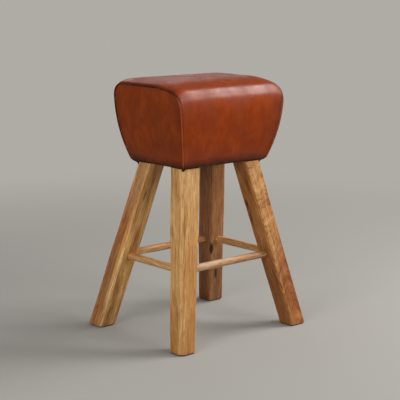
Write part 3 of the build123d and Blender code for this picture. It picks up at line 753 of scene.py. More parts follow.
# Leather wrap: one piece of waxed cowhide that runs from the front hem up over the padded front,
# the crowned top and down the back. It is pulled tight over the wadding, sewn to the end panels
# along the welt, with its edges turned in, and its hems are stapled under the base board.
underside = 0.5034
seat_top = 0.7500
seam_top = 0.7365
end_upright = 0.7594
end_reach = 0.209
end_foot = 0.165
side_reach = 0.145
side_foot = 0.112
foot_round = 0.020
front_round = 0.050
back_round = 0.036
fall_run = 0.078
fall_angle = math.radians(15)
crown_start = 0.164
crown_run = 0.042
crown_rise = seat_top - seam_top
crown_blend = 0.022
hem_width = 0.020
hem_points = 40
leather_thickness = 0.0016
seam_gap = 0.0026
seam_roll = 0.0065
seam_depth = 0.0030
hide_step = 0.0062
edge_steps = [0.0, 0.0010, 0.0022, 0.0036, 0.0054, 0.0078, 0.0110, 0.0152, 0.0204, 0.0262]
tuck_steps = [(0.0009, 0.0046), (0.0003, 0.0022)]
sewn_width = 0.002
swell_start = 0.0011
swell_start_run = 0.01
swell_floor = -0.0002
swell_cap = 0.0026
swell_frames = 16
swell_evening = 10
swell_cloth = dict(quality=6, mass=0.3, tension_stiffness=25, compression_stiffness=25, shear_stiffness=12,
                   bending_stiffness=4, air_damping=3, use_pressure=True, uniform_pressure_force=6.0)
padding_waves = ((0.00035, 0.075), (0.00010, 0.030))
gather_waves = ((0.00045, 0.011, 0.008), (0.0009, 0.0180, 0.011))
gather_hold = 0.006
gather_level, gather_spread = 0.703, 0.020
corner_from, corner_blend = 0.09, 0.03
hem_tuck_share = 0.2
skins = []

fall_radius = fall_run / math.sin(fall_angle)
fall_drop = fall_radius * (1 - math.cos(fall_angle))
side_upright = seam_top - fall_drop - front_round * math.cos(fall_angle) - 0.003


def arc_points(centre, radius, start, end, step=0.0005):
    count = max(int(abs(end - start) * radius / step), 2)
    return [(centre[0] + radius * math.cos(start + (end - start) * i / count),
             centre[1] + radius * math.sin(start + (end - start) * i / count)) for i in range(count + 1)]


def drawn_in_side(upright, reach, foot_reach):
    """Points up a drawn-in side, from the flat underside round the foot to the upright height."""
    rise, run = upright - underside, reach - foot_reach
    radius = (rise * rise + run * run) / (2 * run)
    up = underside + foot_round
    across = reach - radius + math.sqrt((radius - foot_round) ** 2 - (upright - up) ** 2)
    meets = math.atan2(up - upright, across - (reach - radius))
    foot = arc_points((across, up), foot_round, -math.pi / 2, meets)
    return np.array(foot + arc_points((reach - radius, upright), radius, meets, 0)[1:])


end_rise = drawn_in_side(end_upright, end_reach, end_foot)
side_rise = drawn_in_side(side_upright, side_reach, side_foot)
end_flat, side_flat = end_rise[0][0], side_rise[0][0]
hem_x, hem_y = end_flat - hem_width, side_flat - hem_width


def end_extent(height):
    """How far the seat's ends stand from the middle at a height."""
    return np.interp(height, end_rise[:, 1], end_rise[:, 0])


def upper_front():
    """Points from the upright height up round the front corner and along the slow fall."""
    front_across = -(side_reach - front_round)
    slow = (front_across + (fall_radius - front_round) * math.sin(fall_angle), seam_top - fall_radius)
    corner = (front_across, slow[1] + (fall_radius - front_round) * math.cos(fall_angle))
    lean = math.pi / 2 + fall_angle
    points = [(-side_reach, side_upright)] + arc_points(corner, front_round, math.pi, lean)
    return points + arc_points(slow, fall_radius, lean, math.pi / 2)[1:]


def upper_back():
    """Points from the back corner's start on the flat top down to the upright height."""
    rear = (side_reach - back_round, seam_top - back_round)
    return arc_points(rear, back_round, math.pi / 2, 0) + [(side_reach, side_upright)]


def joined(*parts):
    """One polyline out of several, without the points that repeat the one before."""
    line = np.concatenate([np.array(part) for part in parts])
    return line[np.concatenate([[True], np.linalg.norm(np.diff(line, axis=0), axis=1) > 1e-7])]


def measured(points):
    """Distance along a polyline at each of its points."""
    steps = np.linalg.norm(np.diff(points, axis=0), axis=1)
    return np.concatenate([[0.0], np.cumsum(steps)])


def resampled(line, places, values=None):
    """A polyline's points, or values given at them, read at distances along it."""
    along, values = measured(line), line if values is None else values
    return np.stack([np.interp(places, along, values[:, i]) for i in range(values.shape[1])], axis=1)


def outward(points, flip=1.0):
    """Unit normals of a plane polyline, to the left of its direction, or to the right if flipped."""
    run = np.gradient(points, axis=0)
    normal = np.stack([-run[:, 1], run[:, 0]], axis=1) * flip
    return normal / np.linalg.norm(normal, axis=1, keepdims=True)


def roll_in(distance):
    """How deep the turned-in edge of a panel lies, at a distance from its seam."""
    share = np.clip(1 - distance / seam_roll, 0, 1)
    return seam_depth * (1 - np.sqrt(1 - share * share))


def crown(x):
    """How far the top stands above its seams, at a distance from the middle."""
    fall = np.clip((np.abs(x) - crown_start) / crown_run, 0, 1)
    return crown_rise * np.sqrt(1 - fall * fall)


def grid_faces(rows, columns, turned=False):
    faces = []
    for row in range(rows - 1):
        for column in range(columns - 1):
            a = row * columns + column
            face = (a, a + 1, a + columns + 1, a + columns)
            faces.append(tuple(reversed(face)) if turned else face)
    return faces


def face_outward(piece):
    """Turns all faces one way, with their fronts away from the seat's middle."""
    shape = bmesh.new()
    shape.from_mesh(piece.data)
    bmesh.ops.recalc_face_normals(shape, faces=shape.faces)
    middle = Vector((0, 0, sum(vert.co.z for vert in shape.verts) / len(shape.verts)))
    if sum(face.normal.dot(face.calc_center_median() - middle) * face.calc_area() for face in shape.faces) < 0:
        bmesh.ops.reverse_faces(shape, faces=shape.faces)
    shape.to_mesh(piece.data)
    shape.free()


# The front, top and back of the seat in section, which is also the line of the end seams.
seat_section = joined(side_rise * (-1, 1), upper_front(), upper_back(), side_rise[::-1])


def make_wrap():
    """The wrap before it swells, with each vertex's distance from its seam and which are held."""
    hem_front = [(-hem_y - hem_width * i / hem_points, underside) for i in range(hem_points)]
    hem_back = [(side_flat - hem_width * i / hem_points, underside) for i in range(1, hem_points + 1)]
    line = joined(hem_front, seat_section, hem_back)
    total = measured(line)[-1]
    rows = int(total / hide_step)
    places = np.linspace(0, total, rows)
    profile = resampled(line, places)
    normals = resampled(line, places, outward(line))
    lift = np.clip((profile[:, 1] - side_upright) / crown_blend, 0, 1)
    lift = lift * lift * (3 - 2 * lift)
    edges = end_extent(profile[:, 1]) - seam_gap
    in_hem = (profile[:, 1] < underside + 1e-5) & (np.abs(profile[:, 0]) < side_flat - 1e-5)
    from_fold = np.clip((side_flat - np.abs(profile[:, 0])) / hide_step, 0, 1)
    edges = np.where(in_hem, edges + (hem_x - 0.0004 - edges) * from_fold, edges)
    inner = int(2 * (end_reach - edge_steps[-1]) / hide_step)
    columns = [(-1, step, extra) for step, extra in tuck_steps] + [(-1, step, 0.0) for step in edge_steps]
    columns += [(0, 2 * i / inner - 1, 0.0) for i in range(1, inner)]
    columns += [(1, step, 0.0) for step in reversed(edge_steps)]
    columns += [(1, step, extra) for step, extra in reversed(tuck_steps)]
    points, distances, holds = [], [], []
    for row, (y, z0) in enumerate(profile):
        edge = edges[row]
        for side, step, extra in columns:
            z = z0
            for _ in range(2):
                if not in_hem[row]:
                    edge = end_extent(z) - seam_gap
                x = side * (edge - step) if side else step * (edge - edge_steps[-1])
                z = z0 + lift[row] * crown(x)
            distance = 0.0 if extra else edge - abs(x)
            depth = extra + roll_in(distance) + swell_start * min(distance / swell_start_run, 1)
            if in_hem[row]:
                depth = extra * hem_tuck_share
            points.append((x, y - normals[row][0] * depth, z - normals[row][1] * depth))
            distances.append(distance)
            holds.append(extra > 0 or distance < sewn_width or in_hem[row])
    wrap = mesh_object("leather_wrap", points, grid_faces(rows, len(columns)))
    face_outward(wrap)
    return wrap, np.array(distances), np.array(holds)


def evened(piece, values, rounds):
    """Averages a value of each vertex with its neighbours', a number of times."""
    ends = np.zeros(len(piece.data.edges) * 2, dtype=np.int32)
    piece.data.edges.foreach_get("vertices", ends)
    first, second = ends[::2], ends[1::2]
    count = len(values)
    shared = np.bincount(first, minlength=count) + np.bincount(second, minlength=count)
    for _ in range(rounds):
        around = np.bincount(first, values[second], count) + np.bincount(second, values[first], count)
        values = (values + around / shared) / 2
    return values


def swell(piece, pinned):
    """Blows a pinned sheet up gently, as padding under it does, then makes the result its mesh."""
    before = coordinates(piece)
    held = piece.vertex_groups.new(name="sewn")
    held.add([int(i) for i in np.flatnonzero(pinned)], 1.0, "REPLACE")
    cloth = piece.modifiers.new("padding", "CLOTH")
    for setting, value in swell_cloth.items():
        setattr(cloth.settings, setting, value)
    cloth.settings.vertex_group_mass = held.name
    cloth.settings.effector_weights.gravity = 0
    cloth.collision_settings.use_collision = False
    cloth.point_cache.frame_start = 1
    cloth.point_cache.frame_end = swell_frames
    for step in range(1, swell_frames + 1):
        bpy.context.scene.frame_set(step)
    settle(piece)
    bpy.context.scene.frame_set(1)
    out = coordinates(piece, "normal")
    risen = np.sum((coordinates(piece) - before) * out, axis=1)
    limit = np.where(risen > 0, swell_cap, swell_floor)
    risen = limit * np.tanh(risen / limit)
    risen = np.where(pinned, 0.0, evened(piece, risen, swell_evening))
    move_points(piece, before + out * risen[:, None])
    piece.vertex_groups.clear()


def top_corners(spots, level, spread):
    """A share for each spot, 1 at the top corners of the seams and fading away from them."""
    near = np.exp(-(((spots[:, 2] - level) / spread) ** 2))
    return near * np.clip((np.abs(spots[:, 1]) - corner_from) / corner_blend, 0, 1)


def soften(piece, distance, seed):
    """Slow unevenness of the padding, and small gathers beside the seams and at the corners."""
    spots, normals = coordinates(piece), coordinates(piece, "normal")
    shares = (np.ones(len(spots)), top_corners(spots, gather_level, gather_spread))
    for i, spot in enumerate(spots):
        out = sum(reach * waver(spot, wave, seed + k) for k, (reach, wave) in enumerate(padding_waves))
        for k, (reach, wave, fade) in enumerate(gather_waves):
            out += reach * shares[k][i] * waver(spot, wave, seed + 2 + k) * math.exp(-distance[i] / fade)
        spots[i] = spot + normals[i] * out * min(distance[i] / gather_hold, 1)
    move_points(piece, spots)


def thicken(piece, thickness, offset):
    body = piece.modifiers.new("thickness", "SOLIDIFY")
    body.thickness = thickness
    body.offset = offset


def round_off(piece):
    smooth = piece.modifiers.new("smooth", "SUBSURF")
    smooth.levels = 1
    smooth.render_levels = 1
    smooth.boundary_smooth = "PRESERVE_CORNERS"
    settle(piece)
    piece.data.shade_smooth()


def finish_hide(piece):
    """Notes a leather sheet's outer face, gives it its thickness, inwards, and rounds it off."""
    skins.append(BVHTree.FromPolygons([vert.co for vert in piece.data.vertices],
                                      [tuple(face.vertices) for face in piece.data.polygons]))
    thicken(piece, leather_thickness, -1)
    round_off(piece)


# The hide's pattern, as repeats in a metre, and its colours. Painted shade runs along the seam
# crevices, wider below the shoulder, and round the foot where the leather turns under.
cloud_scale, mottle_scale = (15, 15, 11), (36, 36, 23)
pebble_scale, crease_scale, fine_scale = 720.0, 260, 1600
warp_scale, warp_reach = 90.0, 0.006
cloud_strength, hide_pore_strength = 0.42, 0.35
painted_shade_colour, hide_pore_colour = (0.030, 0.007, 0.003), (0.05, 0.012, 0.005)
fold_rate, fold_depth = 820.0, 0.0011
foot_shade_height, foot_shade_power = 0.032, 0.9
seam_crevice_shade, seam_crevice_shade_width = 0.60, 0.0020
left_shade, left_shade_width = 0.32, 0.015
right_shade, right_shade_width = 0.448, 0.022
shoulder_height, shoulder_blend = 0.712, 0.035
pucker_level, pucker_spread, pucker_width = 0.715, 0.015, 0.010
painted_shade_least, painted_shade_cloud = 0.8, 0.3
cloud_dullness, edge_dullness = 0.14, 0.30
hide_relief, hide_relief_depth, hide_shine = 0.11, 0.0004, 0.23


def make_hide_group():
    """Grain side of cowhide: pebbles with pores between them, soft clouds and mottling."""
    vector, number = "NodeSocketVector", "NodeSocketFloat"
    tree, given, out = group_of("hide_grain", {"Place": (vector, None)},
                                {"Mottle": number, "Cloud": number, "Pores": number, "Height": number})
    place = given["Place"]
    warp = vector_maths(tree, "MULTIPLY", noise_of(tree, place, warp_scale, output=1), (warp_reach,) * 3)
    warped = vector_maths(tree, "ADD", place, warp)
    pebble = add(tree, "ShaderNodeTexVoronoi", {"Vector": warped, "Scale": pebble_scale},
                 feature="DISTANCE_TO_EDGE").outputs[0]
    creases = noise_of(tree, warped, crease_scale, 4.0, 0.6, 0.6)
    fine = noise_of(tree, place, fine_scale, 3.0, 0.6)
    pores = maths(tree, "MULTIPLY", remap(tree, pebble, 0.10, 0.02), remap(tree, creases, 0.45, 0.62))
    cloud = noise_of(tree, place, cloud_scale, 3.0, 0.55, 0.4)
    mottle = noise_of(tree, place, mottle_scale, 4.0, 0.6, 0.3)
    tree.links.new(remap(tree, mottle, 0.40, 0.66), out["Mottle"])
    tree.links.new(remap(tree, cloud, 0.36, 0.66), out["Cloud"])
    tree.links.new(pores, out["Pores"])
    height = weighted(tree, (remap(tree, pebble, 0.0, 0.16), 0.5), (creases, 0.6), (fine, 0.25))
    tree.links.new(height, out["Height"])
    return tree


hide_grain = make_hide_group()


def leather_material(name, body, light, dark, roughness):
    """Waxed cowhide: soft mottling, painted shade at the seams and the foot, fine pores and a satin shine."""
    made, tree, shader = new_material(name)
    place = place_on(tree)
    hide = place_group(tree, hide_grain, {"Place": place})
    edge = add(tree, "ShaderNodeAttribute", attribute_name="edge").outputs["Fac"]
    tint = mix_colour(tree, hide["Mottle"], body, light)
    tint = toned(tree, tint, hide["Cloud"], cloud_strength, dark, "MIX")
    # Painted shade: the edge attribute darkens the seams, their sides and the foot towards a near-black brown.
    painted_shade = maths(tree, "ADD", maths(tree, "MULTIPLY", hide["Cloud"], painted_shade_cloud), painted_shade_least)
    tint = mix_colour(tree, maths(tree, "MULTIPLY", edge, painted_shade, clamp=True), tint, painted_shade_colour)
    tint = toned(tree, tint, hide["Pores"], hide_pore_strength, hide_pore_colour, "MIX")
    uneven = maths(tree, "MULTIPLY", maths(tree, "SUBTRACT", hide["Cloud"], 0.5), cloud_dullness)
    rough = maths(tree, "ADD", roughness, uneven)
    rough = maths(tree, "ADD", rough, maths(tree, "MULTIPLY", edge, edge_dullness))
    spot = add(tree, "ShaderNodeSeparateXYZ", {0: place}).outputs
    across_folds = maths(tree, "SUBTRACT", spot[2], maths(tree, "ABSOLUTE", spot[0]))
    folds = maths(tree, "SINE", maths(tree, "MULTIPLY", across_folds, fold_rate))
    pucker = add(tree, "ShaderNodeAttribute", attribute_name="pucker").outputs["Fac"]
    folded = add(tree, "ShaderNodeBump", {"Strength": 1.0, "Distance": fold_depth,
                                          "Height": maths(tree, "MULTIPLY", folds, pucker)}).outputs[0]
    lay_finish(tree, shader, tint, rough, hide["Height"], hide_relief, hide_relief_depth, folded)
    shader.inputs["Specular IOR Level"].default_value = hide_shine
    return made


def shade_edges(piece, distance, at_left=1.0):
    """Painted shade: a dark line in the seam crevices, wider darkening beside the seams below the shoulder, and
    darker round the foot; less so at the left end.
    """
    spots = coordinates(piece)
    away = np.maximum(distance, 0)
    foot = np.clip(1 - (spots[:, 2] - underside) / foot_shade_height, 0, 1) ** foot_shade_power
    below = np.clip((shoulder_height - spots[:, 2]) / shoulder_blend, 0, 1)
    wide = np.where(spots[:, 0] < 0, left_shade * at_left * np.exp(-away / left_shade_width),
                    right_shade * np.exp(-away / right_shade_width))
    seam = seam_crevice_shade * np.exp(-away / seam_crevice_shade_width) + wide * below
    set_attribute(piece, "edge", np.clip(np.maximum(seam, foot), 0, 1))


wrap, wrap_distance, wrap_held = make_wrap()
swell(wrap, wrap_held)
soften(wrap, wrap_distance, 71)
shade_edges(wrap, wrap_distance, 0.1)
pucker_share = top_corners(coordinates(wrap), pucker_level, pucker_spread)
set_attribute(wrap, "pucker", pucker_share * np.exp(-np.maximum(wrap_distance, 0) / pucker_width))
finish_hide(wrap)
wrap.data.materials.append(leather_material("waxed_hide_wrap", (0.268, 0.0345, 0.0016), (0.325, 0.050, 0.0045),
                                            (0.190, 0.022, 0.0012), 0.325))
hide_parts("seat_wrap")
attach(wrap, "root")

# End panels: one piece of the same hide on each end, cut to the seat's outline, sewn round to
# the wrap with the welt between, its edge turned in, and its foot hemmed under the base board.
ring_steps = [0.0, 0.0010, 0.0022, 0.0036, 0.0054, 0.0080, 0.0115, 0.0160, 0.0215]
side_rows = 40
top_rows = 42
front_shoulder, back_shoulder = -0.128, 0.134
shoulder_least = 0.2
hem_hold, hem_turn = 1.05, 1.2
hem_corner_gap = 0.0075
hem_corner_points = 12
end_swell_start = 0.0010
press_gap = 0.0019
press_reach = 0.008


def make_end_panel(name, side):
    """An end panel before it swells, with each vertex's distance from the seam and which are held.

    It is drawn flat, as (across, up the panel), in rings along its edge and a grid inside them,
    and then laid on the end's curve.
    """
    hem = [(hem_x + hem_width * i / hem_points, underside) for i in range(hem_points)]
    profile = np.concatenate([hem, end_rise])
    along = measured(profile)
    tilt = outward(profile, -1.0)
    seam_along = np.interp(seat_section[:, 1], end_rise[:, 1], along[hem_points:])
    feet = np.array([(side_flat - hem_corner_gap, hem_width * i / hem_corner_points)
                     for i in range(hem_corner_points)])
    flat = joined(feet * (-1, 1), np.column_stack([seat_section[:, 0], seam_along]), feet[::-1])
    reached = measured(flat)
    at_front, at_back = (reached[np.argmin(np.abs(flat[:, 0] - across) + 10 * (flat[:, 1] < shoulder_least))]
                         for across in (front_shoulder, back_shoulder))
    places = np.concatenate([
        np.linspace(0, at_front, side_rows + 1)[:-1],
        np.linspace(at_front, at_back, top_rows + 1)[:-1],
        np.linspace(at_back, reached[-1], side_rows + 1),
    ])
    inward = -outward(flat)
    inward[:, 1] = np.where(flat[:, 1] < hem_width * hem_turn, 0.0, inward[:, 1])
    line = resampled(flat, places)
    turn = resampled(flat, places, inward)
    turn /= np.linalg.norm(turn, axis=1, keepdims=True)
    rings = tuck_steps + [(step, 0.0) for step in ring_steps]
    spots, depths, distances, holds = [], [], [], []
    for step, extra in rings:
        distance = 0.0 if extra else step
        for i, (y, q) in enumerate(line + turn * (seam_gap + step)):
            in_hem = line[i][1] < hem_width + 0.002
            spots.append((y, q))
            depths.append(extra * hem_tuck_share if in_hem else extra + float(roll_in(distance)))
            distances.append(distance)
            holds.append(extra > 0 or distance < sewn_width or q < hem_width * hem_hold)
    count = len(line)
    faces = grid_faces(len(rings), count, turned=side < 0)
    inner = np.array(spots[-count:])
    left, top = inner[:side_rows + 1], inner[side_rows:side_rows + top_rows + 1]
    right = inner[side_rows + top_rows:][::-1]
    bottom = np.linspace(left[0], right[0], top_rows + 1)
    base = (len(rings) - 1) * count
    index = {(side_rows, column): base + side_rows + column for column in range(top_rows + 1)}
    for row in range(side_rows):
        index[row, 0] = base + row
        index[row, top_rows] = base + count - 1 - row
    for row in range(side_rows):
        t = row / side_rows
        for column in range(1, top_rows):
            s = column / top_rows
            spot = (1 - t) * bottom[column] + t * top[column] + (1 - s) * left[row] + s * right[row]
            spot -= (1 - t) * ((1 - s) * left[0] + s * right[0]) + t * ((1 - s) * top[0] + s * top[-1])
            index[row, column] = len(spots)
            spots.append(tuple(spot))
            depths.append(0.0)
            distances.append(0.03)
            holds.append(spot[1] < hem_width * hem_hold)
    for row in range(side_rows):
        for column in range(top_rows):
            face = (index[row, column], index[row, column + 1],
                    index[row + 1, column + 1], index[row + 1, column])
            faces.append(tuple(reversed(face)) if side < 0 else face)
    spots, distances, holds = np.array(spots), np.array(distances), np.array(holds)
    q = np.clip(spots[:, 1], 0, along[-1])
    across, up, lean_x, lean_z = (np.interp(q, along, values) for values in (*profile.T, *tilt.T))
    depth = depths + np.where(holds, 0.0, end_swell_start * np.minimum(distances / swell_start_run, 1))
    points = np.column_stack([side * (across - lean_x * depth), spots[:, 0], up - lean_z * depth])
    panel = mesh_object(name, points, faces)
    face_outward(panel)
    return panel, distances, holds


def press_under(pad, gap):
    """Presses a pad in wherever it would stand nearer than the gap to the leather's outer face."""
    for vert in pad.data.vertices:
        for skin in skins:
            spot, normal, _, _ = skin.find_nearest(vert.co, press_reach)
            if spot is None:
                continue
            depth = (vert.co - spot).dot(normal)
            if depth > -gap:
                vert.co = vert.co - normal * (depth + gap)
    pad.data.update()


end_leather = leather_material("waxed_hide_end", (0.255, 0.0385, 0.0025), (0.320, 0.054, 0.0055),
                               (0.180, 0.026, 0.0018), 0.34)
for side, place in ((-1, "left"), (1, "right")):
    panel, distance, held = make_end_panel(f"{place}_end_panel", side)
    swell(panel, held)
    soften(panel, distance, 81 + side)
    shade_edges(panel, distance)
    finish_hide(panel)
    panel.data.materials.append(end_leather)
    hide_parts(f"end_panel_{place}")
    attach(panel, "root")
for pad in (layer, *foam_pads):
    press_under(pad, press_gap)

# Welts: a strip of the hide folded over a thin cord and sewn into each end seam. It stands up
# between the wrap and the end panel all the way round. Its flattened tails show at the feet.
welt_radius = 0.0020
welt_waver, welt_wave = 0.00022, 0.006
welt_sink = 0.0011
welt_step = 0.003
welt_sides = 14
welt_tail = 0.0100
welt_tail_lean, welt_tail_bend = 0.0030, 0.0014
welt_tail_swell = 4.3
welt_tail_from, welt_tail_start = 0.002, 0.003
welt_end_share = 0.8
welt_shade = 0.95
welt_shade_level, welt_shade_blend = 0.700, 0.020
welt_shade_behind, welt_behind_run = 0.220, 0.05
welt_foot_level, welt_foot_blend = 0.020, 0.017


def make_welt(name, side, seed):
    """A welt along the seam of one end, its tails tucked under, with painted shade along its top, down its back
    and at its feet.
    """
    seam = seat_section - outward(seat_section) * welt_sink
    tail = np.array([(welt_tail_lean, -welt_tail), (welt_tail_bend, -welt_tail * 0.5)])
    seam = np.concatenate([seam[0] + tail, seam, (seam[-1] + tail * (-1, 1))[::-1]])
    total = measured(seam)[-1]
    line = resampled(seam, np.linspace(0, total, int(total / welt_step)))
    path = np.column_stack([side * (end_extent(line[:, 1]) - welt_sink), line])
    run = np.gradient(path, axis=0)
    run /= np.linalg.norm(run, axis=1, keepdims=True)
    points = []
    for i, (spot, ahead) in enumerate(zip(path, run)):
        first = np.cross(ahead, (side, 0, 0.0))
        first /= np.linalg.norm(first)
        second = np.cross(ahead, first)
        below = max(underside + welt_tail_from - spot[2], 0)
        fuller = 1 + (welt_tail_swell - 1) * min(below / welt_tail_start, 1) * (1 - 0.5 * below / welt_tail)
        fuller *= welt_end_share if i in (0, len(path) - 1) else 1.0
        for j in range(welt_sides):
            angle = 2 * math.pi * j / welt_sides
            radius = welt_radius + welt_waver * waver(spot + 0.002 * first * math.cos(angle), welt_wave, seed)
            points.append(spot + (first * math.cos(angle) + second * math.sin(angle)) * radius * fuller)
    welt = mesh_object(name, points, ring_faces(len(path), welt_sides))
    round_off(welt)
    spots = coordinates(welt)
    # Painted shade: darker along the top, down the back half and at the feet.
    behind = np.clip(spots[:, 1] / welt_behind_run, 0, 1)
    on_top = np.clip((spots[:, 2] - welt_shade_level + welt_shade_behind * behind) / welt_shade_blend, 0, 1)
    at_foot = np.clip((underside + welt_foot_level - spots[:, 2]) / welt_foot_blend, 0, 1)
    set_attribute(welt, "edge", np.maximum(welt_shade * on_top, at_foot))
    return welt


# Painted light: the welt is the same hide as the wrap, given a lighter colour so that its ridge looks lit.
welt_leather_painted_light = leather_material("waxed_hide_welt_painted_light", (0.380, 0.070, 0.0085), (0.440, 0.090, 0.0130),
                                (0.290, 0.046, 0.0050), 0.42)
for side, place in ((-1, "left"), (1, "right")):
    welt = make_welt(f"{place}_welt", side, 95 + side)
    welt.data.materials.append(welt_leather_painted_light)
    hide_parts(f"piping_{place}")
    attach(welt, "root")

# Dust cover: black non-woven cloth over the hems under the seat, cut back round the legs' heads
# and stapled to the base board through the hems. It is pulled flat and sags a little.
cover_low, cover_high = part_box("dust_cover")
cover_x, cover_y = cover_high.x, cover_high.y
cover_notch_x, cover_notch_y = 0.0844, 0.0354
cover_level = (cover_low.z + cover_high.z) / 2
cover_thickness = cover_high.z - cover_low.z
cover_sag = 0.0022
cover_ripple, cover_ripple_wave = 0.0002, 0.02
cover_step = 0.006
cloth_dark, cloth_pale = (0.010, 0.010, 0.011), (0.035, 0.035, 0.037)


def cover_lines(reach, notch):
    """Places of the cloth's mesh lines along one axis, with lines on the notches' edges."""
    outer = max(int((reach - notch) / cover_step), 1)
    inner = int(2 * notch / cover_step)
    lines = [-reach + (reach - notch) * i / outer for i in range(outer)]
    lines += [-notch + 2 * notch * i / inner for i in range(inner)]
    return lines + [notch + (reach - notch) * i / outer for i in range(outer + 1)]


def make_cover():
    lines_x, lines_y = cover_lines(cover_x, cover_notch_x), cover_lines(cover_y, cover_notch_y)
    points = []
    for y in lines_y:
        for x in lines_x:
            fall = max(1 - (x / hem_x) ** 2, 0) * max(1 - (y / hem_y) ** 2, 0)
            ripple = cover_ripple * waver((x, y, 0), cover_ripple_wave, 101)
            points.append((x, y, cover_level - (cover_sag + ripple) * fall))

    def in_notch(face):
        x, y = (abs(sum(points[corner][axis] for corner in face)) / 4 for axis in (0, 1))
        return x > cover_notch_x and y > cover_notch_y

    faces = [face for face in grid_faces(len(lines_y), len(lines_x), turned=True) if not in_notch(face)]
    cover = mesh_object("dust_cover_cloth", points, faces)
    shape = bmesh.new()
    shape.from_mesh(cover.data)
    loose = [vert for vert in shape.verts if not vert.link_faces]
    bmesh.ops.delete(shape, geom=loose, context="VERTS")
    shape.to_mesh(cover.data)
    shape.free()
    thicken(cover, cover_thickness, 0)
    settle(cover)
    return cover


cloth_black, tree, shader = new_material("black_nonwoven")
place = place_on(tree)
web = noise_of(tree, place, 900, 4.0, 0.7, 1.0)
dots = add(tree, "ShaderNodeTexVoronoi", {"Vector": place, "Scale": 480.0}, feature="F1").outputs["Distance"]
height = weighted(tree, (remap(tree, dots, 0.18, 0.34), 0.6), (web, 0.5))
lay_finish(tree, shader, mix_colour(tree, web, cloth_dark, cloth_pale), remap(tree, web, 0.2, 0.8, 0.80, 0.98),
           height, 0.5, 0.0003)
cover = make_cover()
cover.data.materials.append(cloth_black)
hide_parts("dust_cover")
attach(cover, "root")

# Staples: bright wire staples driven up through the cover and the hems into the base board,
# in a row along each free edge of the cover.
staple_crown = 0.010
staple_leg = 0.0087
staple_wire_width, staple_wire_thickness = 0.0012, 0.0007
staple_edge = 0.004
long_side_staples = 5
short_side_staples = 3


def make_staple_tree():
    """Staples on the points of a mesh, each turned by the point's angle."""
    number = "NodeSocketFloat"
    tree, given, out = group_of("staple_rows", {
        "Geometry": ("NodeSocketGeometry", None), "Crown": (number, 0.01), "Leg": (number, 0.008),
        "Wire Width": (number, 0.0012), "Wire Thickness": (number, 0.0007),
        "Finish": ("NodeSocketMaterial", None),
    }, {"Geometry": "NodeSocketGeometry"}, "GeometryNodeTree")
    half_wire = maths(tree, "MULTIPLY", given["Wire Thickness"], 0.5)
    reach = maths(tree, "SUBTRACT", maths(tree, "MULTIPLY", given["Crown"], 0.5), half_wire)
    sides = (maths(tree, "MULTIPLY", reach, -1.0), reach)
    tips = [add(tree, "ShaderNodeCombineXYZ", {0: x, 2: given["Leg"]}).outputs[0] for x in sides]
    bends = [add(tree, "ShaderNodeCombineXYZ", {0: x, 2: half_wire}).outputs[0] for x in sides]
    joint = tree.nodes.new("GeometryNodeJoinGeometry")
    for start, end in ((bends[1], tips[1]), (bends[0], bends[1]), (tips[0], bends[0])):
        line = add(tree, "GeometryNodeCurvePrimitiveLine", {"Start": start, "End": end})
        tree.links.new(line.outputs[0], joint.inputs[0])
    section = add(tree, "GeometryNodeCurvePrimitiveQuadrilateral",
                  {"Width": given["Wire Width"], "Height": given["Wire Thickness"]}).outputs[0]
    wire = add(tree, "GeometryNodeCurveToMesh",
               {"Curve": joint.outputs[0], "Profile Curve": section, "Fill Caps": True}).outputs[0]
    turn = add(tree, "GeometryNodeInputNamedAttribute", {"Name": "turn"}, data_type="FLOAT").outputs[0]
    spin = add(tree, "ShaderNodeCombineXYZ", {2: turn}).outputs[0]
    placed = add(tree, "GeometryNodeInstanceOnPoints",
                 {"Points": given["Geometry"], "Instance": wire, "Rotation": spin}).outputs[0]
    real = add(tree, "GeometryNodeRealizeInstances", {0: placed}).outputs[0]
    dressed = add(tree, "GeometryNodeSetMaterial", {"Geometry": real, "Material": given["Finish"]}).outputs[0]
    tree.links.new(dressed, out["Geometry"])
    return tree


def spread(count, reach):
    return [reach * (2 * i / (count - 1) - 1) for i in range(count)]


staple_spots, staple_turns = [], []
staple_level = cover_low.z - staple_wire_thickness
for side in (-1, 1):
    for x in spread(long_side_staples, cover_notch_x - staple_crown):
        staple_spots.append((x, side * (cover_y - staple_edge), staple_level))
        staple_turns.append(0.0)
    for y in spread(short_side_staples, cover_notch_y - staple_crown):
        staple_spots.append((side * (cover_x - staple_edge), y, staple_level))
        staple_turns.append(math.pi / 2)
staples = mesh_object("cover_staple_rows", staple_spots, [], smooth=False)
set_attribute(staples, "turn", staple_turns)
rows = staples.modifiers.new("rows", "NODES")
rows.node_group = make_staple_tree()
sockets = {item.name: item.identifier for item in rows.node_group.interface.items_tree
           if item.in_out == "INPUT"}
staple_inputs = {"Crown": staple_crown, "Leg": staple_leg, "Wire Width": staple_wire_width,
                 "Wire Thickness": staple_wire_thickness, "Finish": zinc}
for label, value in staple_inputs.items():
    rows[sockets[label]] = value
settle(staples)
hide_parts("cover_staples")
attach(staples, "root")

